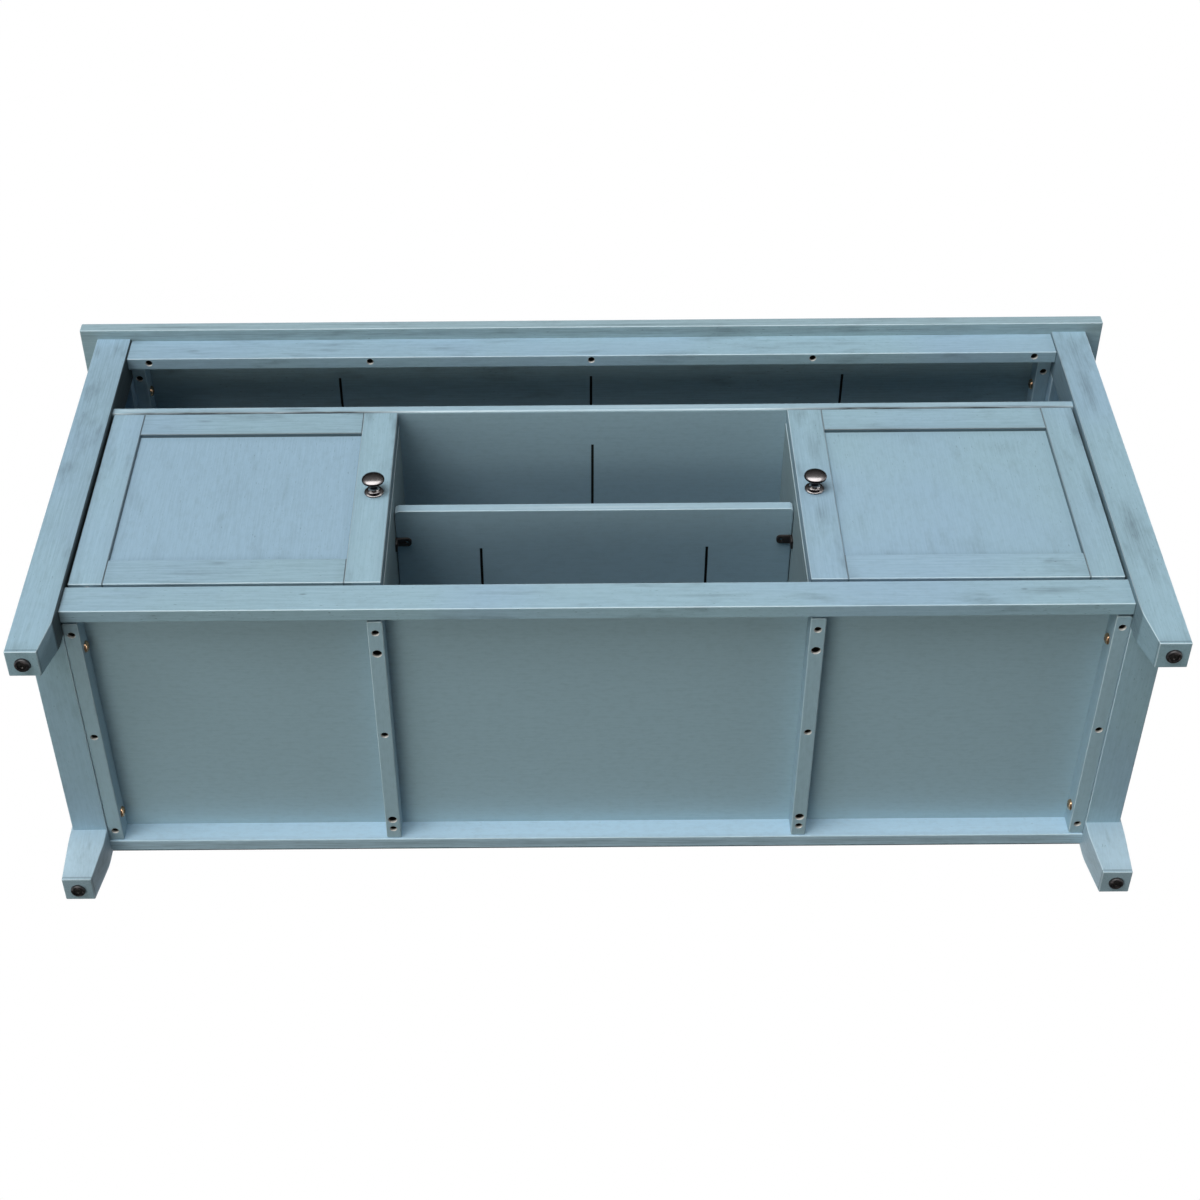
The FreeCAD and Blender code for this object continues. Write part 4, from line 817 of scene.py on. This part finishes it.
SIDE_BOARDS = {
    "side_top_rail": ("Y", PANEL), "side_bottom_rail": ("Y", PANEL), "side_panel": ("Z", PANEL),
    "partition": ("Z", PAINTED_SHADE), "top_cleat": ("Y", PLAIN), "bottom_cleat": ("Y", PLAIN),
    "centre_cleat": ("Y", PLAIN), "shelf_cleat": ("Y", PLAIN),
}
# Boards whose screw holes show bare wood and painted shade, and boards with saw kerfs underneath, painted
# dark as shade
DRILLED = ["front_top_rail", "rear_top_rail"]
DRILLED += [f"{side}_{place}_cleat" for side in SIDES for place in ("top", "bottom", "centre")]
KERFED = ("top_panel", "upper_shelf", "middle_shelf")


class PaintCarcass(bpy.types.Operator):
    """Paint the top, legs, rails, shelves, panels and cleats."""

    bl_idname = "cabinet.paint_carcass"
    bl_label = "Paint Carcass"

    def execute(self, context):
        boards = dict(BOARDS)
        boards.update({f"{side}_{name}": finish for side in SIDES for name, finish in SIDE_BOARDS.items()})
        # Strength of the dark lines, glaze with painted shade, at the rails' ends, behind the bottom rail and
        # on the front legs' inner faces, the left leg's more; and of the glaze at the feet
        end_glaze_and_shade, back_glaze_and_shade, leg_glaze_and_shade, foot_glaze = 0.7, 0.6, (0.95, 0.4), 0.35
        foot_line = 3 * MM
        inner_faces = (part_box("front_left_leg")[1].x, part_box("front_right_leg")[0].x)
        rail_ends = [(0, inner, end_glaze_and_shade) for inner in inner_faces]
        joints = {"front_top_rail": rail_ends, "front_bottom_rail": rail_ends}
        joints["bottom_panel"] = [(1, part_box("front_bottom_rail")[1].y, back_glaze_and_shade)]
        for side, inner, dark in zip(SIDES, inner_faces, leg_glaze_and_shade):
            foot = (2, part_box(f"front_{side}_leg")[0].z + foot_line, foot_glaze)
            joints[f"front_{side}_leg"] = [(0, inner, dark), foot]
            joints[f"rear_{side}_leg"] = [foot]
        for node, (grain, coat) in boards.items():
            bores = bores_of(node) if node in DRILLED else ()
            give(painted_wood(node, grain, coat, joints.get(node, ()), bores), node)
        return {"FINISHED"}


class PaintDoors(bpy.types.Operator):
    """Paint the stiles, rails and panels of both doors."""

    bl_idname = "cabinet.paint_doors"
    bl_label = "Paint Doors"

    def execute(self, context):
        for side in SIDES:
            door = {name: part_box(f"{side}_door_{name}") for name in (
                "outer_stile", "inner_stile", "top_rail", "bottom_rail")}
            near, far = (1, 0) if side == "left" else (0, 1)
            # A joint is an axis, a place on it and how strongly its dark line of glaze and painted shade lies
            # there
            outer_line = (0, door["outer_stile"][near].x)
            inner_line = (0, door["inner_stile"][far].x)
            # The gap by the leg, and the inner side face of the left door far more than the right's, get
            # painted shade
            gap_shade = (0, door["outer_stile"][far].x, 0.95)
            shaded_side_face = (0, door["inner_stile"][near].x, 0.6 if side == "left" else 0.1)
            top_line, bottom_line = (2, door["top_rail"][0].z), (2, door["bottom_rail"][1].z)
            ends = [(*outer_line, 0.6), (*inner_line, 0.6)]
            # The panel's recessed edges get glaze with painted shade, most along the outer stile and the top
            # rail
            recess_shade = [(*outer_line, 0.75), (*inner_line, 0.35), (*top_line, 0.7), (*bottom_line, 0.15)]
            rows = (
                ("outer_stile", "Z", GLAZED, [(*outer_line, 0.6), gap_shade]),
                ("inner_stile", "Z", GLAZED, [(*inner_line, 0.3), shaded_side_face]),
                ("top_rail", "X", GLAZED, [*ends, (*top_line, 0.75)]),
                ("bottom_rail", "X", GLAZED, ends),
                ("panel", "Z", COOL if side == "left" else PANEL, recess_shade),
            )
            for name, grain, coat, joints in rows:
                node = f"{side}_door_{name}"
                give(painted_wood(node, grain, coat, joints), node)
        return {"FINISHED"}


class TurnKnobs(bpy.types.Operator):
    """Turn the mushroom knobs of the doors."""

    bl_idname = "cabinet.turn_knobs"
    bl_label = "Turn Knobs"

    def execute(self, context):
        fittings = context.scene.cabinet_fittings
        low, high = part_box("right_door_knob")
        axis = ((low.x + high.x) / 2, 0, (low.z + high.z) / 2)
        oxidation_shade_and_reflection = (axis, high.y, (high.x - low.x) / 2, fittings.knob_rim_height)
        # Polished black nickel: a dark mirror, with a painted dark reflection round the rim of the head and
        # black oxidation with painted shade in the hollow under it
        nickel = plated_metal("polished_black_nickel", fittings.nickel, 0.2, 0.3, oxidation_shade_and_reflection)
        # The base's lip: how high each ring is and how far it lies inside the base's radius, in mm
        lip = ((0, 0.3), (0.3, 0), (1.1, 0), (1.6, 0.35), (2.0, 1.2), (2.4, 2.6))
        base, neck = fittings.knob_base_radius, fittings.knob_neck_radius
        for side in SIDES:
            node = f"{side}_door_knob"
            low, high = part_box(node)
            head, reach = (high.x - low.x) / 2, high.y - low.y
            rim = fittings.knob_rim_height
            profile = [(rise * MM, base - inset * MM) for rise, inset in lip]
            # A cove up to the neck, a flare out to the rim, the rounded rim, and the domed face
            cove_start, shoulder = profile[-1]
            cove_end = 7.5 * MM
            for turn in range(15, 91, 15):
                swing = math.radians(turn)
                rise = (cove_end - cove_start) * (1 - math.cos(swing))
                profile.append((cove_start + rise, shoulder - (shoulder - neck) * math.sin(swing)))
            flare_start, flare_end, flare = 9.5 * MM, rim - 1.9 * MM, head - 0.9 * MM
            profile.append((flare_start, neck))
            for turn in range(15, 91, 15):
                swing = math.radians(turn)
                rise = (flare_end - flare_start) * math.sin(swing)
                profile.append((flare_start + rise, neck + (flare - neck) * (1 - math.cos(swing))))
            profile += [(rim - 1.4 * MM, head - 0.35 * MM), (rim - 0.7 * MM, head - 0.05 * MM)]
            for turn in range(0, 90, 6):
                swing = math.radians(turn)
                profile.append((rim + (reach - rim) * math.sin(swing), head * math.cos(swing)))
            pattern = turned(f"{side}_knob_pattern", profile, fittings.turned_sides)
            smooth(pattern, 50)
            seat = Vector(((low.x + high.x) / 2, high.y, (low.z + high.z) / 2))
            knob = spread(pattern, f"{side}_knob_turned", [Matrix.Translation(seat) @ TURNS["-Y"]])
            dress(knob, f"{side}_door", node, "knob_metal", nickel)
        return {"FINISHED"}


class FitGlides(bpy.types.Operator):
    """Mould the foot glides and set the cross-slotted nails that hold them."""

    bl_idname = "cabinet.fit_glides"
    bl_label = "Fit Glides"

    def execute(self, context):
        fittings = context.scene.cabinet_fittings
        boxes = solids("foot_glides")
        low, high = boxes[0]
        radius, height = (high.x - low.x) / 2, high.z - low.z
        nail_low, nail_high = solids("glide_nails")[0]
        head = (nail_high.x - nail_low.x) / 2
        sink, soft = head + 0.05 * MM, 0.4 * MM
        seat = nail_low.z + fittings.nail_head
        # Rings round the worn lower edge to the flat one below, as shares of the glide's height and radius
        rings = ((0.6, 1), (0.32, 0.97), (0.14, 0.92), (0.03, 0.84), (0, 0.77), (0, 0.66))
        profile = [(height, radius - soft), (height - soft, radius)]
        profile += [(rise * height, share * radius) for rise, share in rings]
        profile += [(0.1 * height, sink), (seat, sink)]
        pattern = turned("glide_pattern", profile, fittings.turned_sides)
        smooth(pattern, 50)
        spots = [Vector(((a.x + b.x) / 2, (a.y + b.y) / 2, 0)) for a, b in boxes]
        glides = spread(pattern, "foot_glides_moulded", [Matrix.Translation(spot) for spot in spots])
        # Moulded polythene: near black with a soft sheen, and pale scuffs where it slides on the floor
        plastic = moulded_plastic("moulded_polythene", fittings.glide_plastic, 0.32, 0.25 * height)
        dress(glides, "carcass", "foot_glides", "glide_plastic", plastic)
        ridge_step, slot_share = 3 * MM, 0.72
        nail = screw(
            "nail_pattern", fittings.nail_shank, head, fittings.nail_head, nail_high.z - seat,
            fittings.screw_sides, ridge_step, slot_share,
        )
        nails = spread(nail, "glide_nails_driven", [Matrix.Translation((*spot.xy, seat)) for spot in spots])
        # Dark zinc plating: dull grey heads with dimmer patches
        steel = plated_metal("dark_zinc_nails", fittings.dark_zinc, 0.35, 0.5)
        dress(nails, "carcass", "glide_nails", "screw_steel", steel)
        return {"FINISHED"}


class DriveScrews(bpy.types.Operator):
    """Model the screws of the frame, the back board and the knobs."""

    bl_idname = "cabinet.drive_screws"
    bl_label = "Drive Screws"

    def execute(self, context):
        fittings = context.scene.cabinet_fittings
        # Reddish brass plating: small warm glints at the cleats
        brass = ("brass", plated_metal("reddish_brass_plating", fittings.brass, 0.15, 0.35))
        # Dark zinc plating: dull grey heads down in their holes
        steel = ("screw_steel", plated_metal("dark_zinc_screws", fittings.dark_zinc, 0.38, 0.4))
        # Distance from ridge to ridge of the thread
        pitch = 1.7 * MM
        rows = (
            ("panel_screws", "carcass", "+Z", fittings.screw_shank, fittings.screw_head, steel),
            ("partition_screws", "carcass", "+Z", fittings.partition_shank, fittings.partition_head, steel),
            ("cleat_screws", "carcass", "X", fittings.screw_shank, fittings.round_head, brass),
            ("back_panel_screws", "carcass", "-Y", fittings.back_shank, fittings.back_head, steel),
            ("left_knob_screw", "left_door", "-Y", fittings.knob_shank, fittings.knob_head, steel),
            ("right_knob_screw", "right_door", "-Y", fittings.knob_shank, fittings.knob_head, steel),
        )
        for node, body, axis, shank, head_height, finish in rows:
            boxes = solids(node)
            along = "XYZ".index(axis[-1])
            size = boxes[0][1] - boxes[0][0]
            head_radius = min(size[i] for i in range(3) if i != along) / 2
            pattern = screw(
                f"{node}_pattern", shank, head_radius, head_height, size[along] - head_height,
                fittings.screw_sides, pitch,
            )
            places = []
            for low, high in boxes:
                way = axis
                if axis == "X":
                    way = "+X" if low.x > 0 else "-X"
                seat = (low + high) / 2
                seat[along] = low[along] + head_height if way[0] == "+" else high[along] - head_height
                places.append(Matrix.Translation(seat) @ TURNS[way])
            dress(spread(pattern, f"{node}_driven", places), body, node, *finish)
        return {"FINISHED"}


class MouldPegs(bpy.types.Operator):
    """Mould the angle pegs that carry the middle shelf."""

    bl_idname = "cabinet.mould_pegs"
    bl_label = "Mould Pegs"

    def execute(self, context):
        fittings = context.scene.cabinet_fittings
        boxes = solids("shelf_pegs")
        size = boxes[0][1] - boxes[0][0]
        reach, width, drop = size.x - fittings.peg_pin_depth, size.y, size.z
        thick, chamfer = fittings.peg_thick, 0.5 * MM
        # Where along the tab its hole is, and how much of its width the rounding of a corner takes
        hole_share, corner_share = 0.714, 0.42
        pattern = begin(bpy.ops.mesh.primitive_cube_add, size=1, location=(-reach / 2, 0, -thick / 2))
        pattern.scale = (reach, width, thick)
        apply_place(pattern)
        bpy.ops.object.mode_set(mode="EDIT")
        bpy.ops.mesh.select_all(action="SELECT")
        bpy.ops.mesh.bisect(plane_co=(-thick, 0, 0), plane_no=(1, 0, 0))
        pick(pattern, "edges", lambda edge: all(v.co.x < -reach + MM for v in edge.verts)
             and abs(edge.verts[0].co.z - edge.verts[1].co.z) > MM)
        bpy.ops.mesh.bevel(offset=corner_share * width, segments=6, affect="EDGES")
        pick(pattern, "faces", lambda face: face.normal.z < -0.9 and face.calc_center_median().x > -thick)
        bpy.ops.mesh.extrude_region_move(TRANSFORM_OT_translate={"value": (0, 0, thick - drop)})
        bpy.ops.object.mode_set(mode="OBJECT")
        pin = turned("pin_pattern", [
            (-0.5 * thick, fittings.peg_pin), (fittings.peg_pin_depth - chamfer, fittings.peg_pin),
            (fittings.peg_pin_depth, fittings.peg_pin - chamfer),
        ], fittings.screw_sides)
        pin.matrix_world = Matrix.Translation((0, 0, -(thick + drop) / 2)) @ TURNS["+X"]
        apply_place(pin)
        modify(pattern, "BOOLEAN", object=pin, operation="UNION", solver="EXACT")
        remove(pin)
        hole = turned("hole_pattern", [
            (-2 * thick, fittings.peg_hole), (thick, fittings.peg_hole),
        ], fittings.screw_sides)
        hole.location.x = -hole_share * reach
        apply_place(hole)
        modify(pattern, "BOOLEAN", object=hole, operation="DIFFERENCE", solver="EXACT")
        remove(hole)
        modify(
            pattern, "BEVEL", width=0.35 * MM, segments=2, limit_method="ANGLE", angle_limit=math.radians(50)
        )
        smooth(pattern)
        places = []
        for low, high in boxes:
            turn = Matrix.Identity(4) if low.x > 0 else Matrix.Rotation(math.pi, 4, "Z")
            wall = high.x - fittings.peg_pin_depth if low.x > 0 else low.x + fittings.peg_pin_depth
            places.append(Matrix.Translation((wall, (low.y + high.y) / 2, high.z)) @ turn)
        pegs = spread(pattern, "shelf_pegs_moulded", places)
        # Moulded ABS: brown-black, with a soft sheen and some dust
        plastic = moulded_plastic("moulded_abs_pegs", fittings.peg_plastic, 0.42)
        dress(pegs, "carcass", "shelf_pegs", "black_plastic", plastic)
        return {"FINISHED"}


class FitCatches(bpy.types.Operator):
    """Model the magnetic catches with their steel poles, and the strike plates on the doors."""

    bl_idname = "cabinet.fit_catches"
    bl_label = "Fit Catches"

    def execute(self, context):
        fittings = context.scene.cabinet_fittings
        # Moulded ABS: brown-black blocks with a soft sheen
        plastic = moulded_plastic("moulded_abs_catches", fittings.peg_plastic, 0.45)
        # Bright zinc plating: pale grey metal with faint dull patches
        steel = plated_metal("bright_zinc_plates", fittings.bright_zinc, 0.3, 0.25)
        # Wall and depth of a catch's front pocket, and the poles' thickness and place in it
        wall, pole_thick, pole_offset, pole_in = 2 * MM, 1.6 * MM, 2.4 * MM, 1.05 * MM
        boxes = solids("door_catches")
        size = boxes[0][1] - boxes[0][0]
        pattern = begin(bpy.ops.mesh.primitive_cube_add, size=1)
        pattern.scale = size
        apply_place(pattern)
        modify(pattern, "BEVEL", width=0.8 * MM, segments=3)
        bpy.ops.object.mode_set(mode="EDIT")
        front = 0.3 * size.x * size.z
        pick(pattern, "faces", lambda face: face.normal.y < -0.99 and face.calc_area() > front)
        bpy.ops.mesh.inset(thickness=wall)
        bpy.ops.mesh.extrude_region_move(TRANSFORM_OT_translate={"value": (0, wall, 0)})
        bpy.ops.object.mode_set(mode="OBJECT")
        smooth(pattern)
        places = [Matrix.Translation((low + high) / 2) for low, high in boxes]
        catches = spread(pattern, "door_catches_moulded", places)
        dress(catches, "carcass", "door_catches", "black_plastic", plastic)
        pole = begin(bpy.ops.mesh.primitive_cube_add, size=1)
        pole.scale = (pole_thick, wall, size.z - 3 * wall)
        apply_place(pole)
        modify(pole, "BEVEL", width=0.25 * MM, segments=2)
        smooth(pole)
        places = []
        for low, high in boxes:
            for offset in (-pole_offset, pole_offset):
                middle = (low + high) / 2
                places.append(Matrix.Translation((middle.x + offset, low.y + pole_in, middle.z)))
        poles = spread(pole, "catch_poles", places)
        dress(poles, "carcass", "door_catches", "plated_steel", steel)
        for side in SIDES:
            node = f"{side}_strike_plate"
            low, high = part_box(node)
            size = high - low
            pattern = begin(bpy.ops.mesh.primitive_cube_add, size=1)
            pattern.scale = size
            apply_place(pattern)
            bpy.ops.object.mode_set(mode="EDIT")
            pick(pattern, "edges", lambda edge: abs(edge.verts[0].co.y - edge.verts[1].co.y) > 0.5 * MM)
            bpy.ops.mesh.bevel(offset=2.5 * MM, segments=6, affect="EDGES")
            bpy.ops.object.mode_set(mode="OBJECT")
            deep, narrow, wide = 0.9 * MM, 1.2 * MM, 2.6 * MM
            dimple = turned(
                "dimple_pattern", [(0, narrow), (deep, wide), (2 * MM, wide)], fittings.screw_sides
            )
            dimple.rotation_euler.x = math.radians(-90)
            dimple.location.y = size.y / 2 - deep
            apply_place(dimple)
            modify(pattern, "BOOLEAN", object=dimple, operation="DIFFERENCE", solver="EXACT")
            remove(dimple)
            modify(pattern, "BEVEL", width=0.2 * MM, segments=2, limit_method="ANGLE")
            smooth(pattern)
            plate = spread(pattern, f"{side}_strike_plate_pressed", [Matrix.Translation((low + high) / 2)])
            dress(plate, f"{side}_door", node, "plated_steel", steel)
        return {"FINISHED"}


class FinishPivots(bpy.types.Operator):
    """Finish the pivot pins and the bushes that turn on them."""

    bl_idname = "cabinet.finish_pivots"
    bl_label = "Finish Pivots"

    def execute(self, context):
        fittings = context.scene.cabinet_fittings
        # Bright zinc plating: pale grey metal with faint dull patches
        steel = plated_metal("bright_zinc_pivots", fittings.bright_zinc, 0.3, 0.3)
        # Moulded nylon: milky white with a soft sheen
        nylon = moulded_plastic("moulded_nylon", fittings.bush_plastic, 0.45)
        give(steel, *[f"{side}_hinge_pins" for side in SIDES])
        give(nylon, *[f"{side}_hinge_bushes" for side in SIDES])
        return {"FINISHED"}


def lamp(name, place, width, depth, glow, tint=WHITE):
    """Add a rectangular soft lamp, aimed at the cabinet's middle, whose face has the given brightness."""
    aim = (0, 0, 0.28)
    bpy.ops.object.select_all(action="DESELECT")
    bpy.ops.object.light_add(type="AREA", location=place)
    made = bpy.context.object
    made.name = name
    made.rotation_euler = (Vector(aim) - Vector(place)).to_track_quat("-Z", "Y").to_euler()
    made.data.shape = "RECTANGLE"
    made.data.size, made.data.size_y = width, depth
    made.data.energy = glow * math.pi * width * depth
    made.data.color = tint[:3]


class SetStage(bpy.types.Operator):
    """Set up the camera, the lamps, the white surroundings and the floor."""

    bl_idname = "cabinet.set_stage"
    bl_label = "Set Stage"

    def execute(self, context):
        stage = context.scene.cabinet_stage
        bpy.ops.object.camera_add(location=stage.camera_place, rotation=stage.camera_turn)
        camera = context.object
        camera.data.sensor_width = 36
        camera.data.lens = stage.lens
        camera.data.shift_x, camera.data.shift_y = stage.shift_x, stage.shift_y
        camera.data.clip_end = 100
        context.scene.camera = camera
        context.scene.view_settings.view_transform = "Standard"
        lamp("key_lamp", (-11.8, -20.0, -6.0), 12.9, 12.9, stage.key_glow)
        lamp("front_lamp", (-1.45, -11.9, -0.56), 6.45, 6.45, stage.front_glow)
        lamp("low_lamp", (-5.4, -2.4, -9.6), 6.2, 6.2, stage.low_glow, stage.low_tint)
        lamp("floor_lamp", (-1.1, -0.7, -3.2), 3.2, 2.2, stage.floor_glow, stage.low_tint)
        lamp("top_lamp", (0, 1.2, 3.0), 3.0, 2.0, stage.top_glow)
        lamp("back_lamp", (0, 3.4, 2.2), 2.4, 1.6, stage.back_glow)
        lamp("side_lamp", (4.6, 0, 2.9), 1.6, 2.4, stage.side_glow)
        lamp("foot_lamp", (3.2, -0.5, -0.55), 1.0, 1.0, stage.foot_glow)
        self.surroundings(context, stage)
        self.floor(context, stage)
        self.card("ceiling", (0, 0, 2.6), (15, 5.8), 0, stage.ceiling_glow, stage.ceiling_front)
        self.card("pit", (0, 0, -2.0), (4, 4), 0, stage.pit_glow, stage.pit_glow)
        self.card("wall", (0, 3.2, 0.3), (7, 3.4), 90, stage.wall_glow, stage.wall_glow)
        self.card("screen", (-1, -7, -0.7), (5.5, 4.5), 90, stage.screen_glow, stage.screen_glow)
        return {"FINISHED"}

    def surroundings(self, context, stage):
        """White to the camera and in reflections, and a plain soft level of light for the rest."""
        world = bpy.data.worlds.new("studio_surroundings")
        world.use_nodes = True
        context.scene.world = world
        tree = world.node_tree
        tree.nodes.clear()
        path = add(tree, "LightPath").outputs
        seen = add(tree, "Math", (path["Is Camera Ray"], path["Is Glossy Ray"]), operation="MAXIMUM")
        seen = add(tree, "Math", (seen, path["Is Transmission Ray"]), operation="MAXIMUM")
        strength = add(tree, "MapRange", (seen, 0.0, 1.0, stage.ambient, 1.0))
        background = add(tree, "Background", (WHITE, strength))
        add(tree, "OutputWorld", (background,))

    def floor(self, context, stage):
        """Pale floor that takes the cabinet's shadow, turns white further off and isn't seen from below."""
        floor = begin(bpy.ops.mesh.primitive_plane_add, size=14, location=(0, 0, 0))
        floor.name = "floor"
        # Matt studio paper: an even pale ground on which only the soft shadow shows
        material, tree = blank_material("matt_paper_floor")
        facing = add(tree, "NewGeometry").outputs
        path = add(tree, "LightPath").outputs
        paper = add(tree, "BsdfDiffuse", (stage.floor,))
        haze = add(tree, "Emission", (stage.floor, stage.floor_haze))
        near = add(tree, "AddShader", (paper, haze))
        white = add(tree, "Emission", (WHITE, 1.0))
        spot = add(tree, "TexCoord").outputs["Object"]
        away = add(tree, "VectorMath", (spot,), operation="LENGTH").outputs["Value"]
        span = (stage.floor_near, stage.floor_far)
        far = add(tree, "MapRange", (away, *span), interpolation_type="SMOOTHSTEP")
        seen = add(tree, "MixShader", (far, near, white))
        pale = add(tree, "MixShader", (path["Is Camera Ray"], paper, seen))
        clear = add(tree, "BsdfTransparent")
        sheet = add(tree, "MixShader", (facing["Backfacing"], pale, clear))
        add(tree, "OutputMaterial", (sheet,))
        floor.data.materials.append(material)
        floor.visible_diffuse = floor.visible_glossy = False
        floor.visible_transmission = floor.visible_shadow = False

    def card(self, name, place, reach, tilt, glow, front):
        """Studio wall that only shows in reflections; its brightness changes towards the front."""
        back_end, front_end = -1.2, -5.8
        card = begin(
            bpy.ops.mesh.primitive_plane_add, size=2, location=place, rotation=(math.radians(tilt), 0, 0)
        )
        card.name = f"studio_{name}"
        card.scale = (*reach, 1)
        apply_place(card)
        # Lit studio cloth: dark and bright fields that metal and satin paint mirror softly
        material, tree = blank_material(f"studio_{name}")
        graded = add(tree, "MapRange", (coordinates(tree)[1], back_end, front_end, glow, front))
        shade = add(tree, "Emission", (WHITE, graded))
        add(tree, "OutputMaterial", (shade,))
        card.data.materials.append(material)
        card.visible_camera = card.visible_diffuse = False
        card.visible_transmission = card.visible_shadow = False


OPERATORS = (
    PaintCarcass, PaintDoors, TurnKnobs, FitGlides, DriveScrews, MouldPegs, FitCatches, FinishPivots,
    SetStage,
)


class CabinetPanel(bpy.types.Panel):
    """List the cabinet's settings and steps."""

    bl_idname = "VIEW3D_PT_cabinet"
    bl_label = "Painted Cabinet"
    bl_space_type = "VIEW_3D"
    bl_region_type = "UI"
    bl_category = "Cabinet"

    def draw(self, context):
        for step in OPERATORS:
            self.layout.operator(step.bl_idname)
        scene = context.scene
        for group in (scene.cabinet_paint, scene.cabinet_fittings, scene.cabinet_stage):
            box = self.layout.box()
            for name in group.__annotations__:
                box.prop(group, name)


CLASSES = (CabinetPaint, CabinetFittings, CabinetStage, *OPERATORS, CabinetPanel)


def register():
    for item in CLASSES:
        bpy.utils.register_class(item)
    bpy.types.Scene.cabinet_paint = PointerProperty(type=CabinetPaint)
    bpy.types.Scene.cabinet_fittings = PointerProperty(type=CabinetFittings)
    bpy.types.Scene.cabinet_stage = PointerProperty(type=CabinetStage)


def unregister():
    del bpy.types.Scene.cabinet_paint
    del bpy.types.Scene.cabinet_fittings
    del bpy.types.Scene.cabinet_stage
    for item in reversed(CLASSES):
        bpy.utils.unregister_class(item)


def main():
    """Build the looks in order."""
    register()
    bpy.ops.cabinet.paint_carcass()
    bpy.ops.cabinet.paint_doors()
    bpy.ops.cabinet.turn_knobs()
    bpy.ops.cabinet.fit_glides()
    bpy.ops.cabinet.drive_screws()
    bpy.ops.cabinet.mould_pegs()
    bpy.ops.cabinet.fit_catches()
    bpy.ops.cabinet.finish_pivots()
    bpy.ops.cabinet.set_stage()


if __name__ == "__main__":
    main()
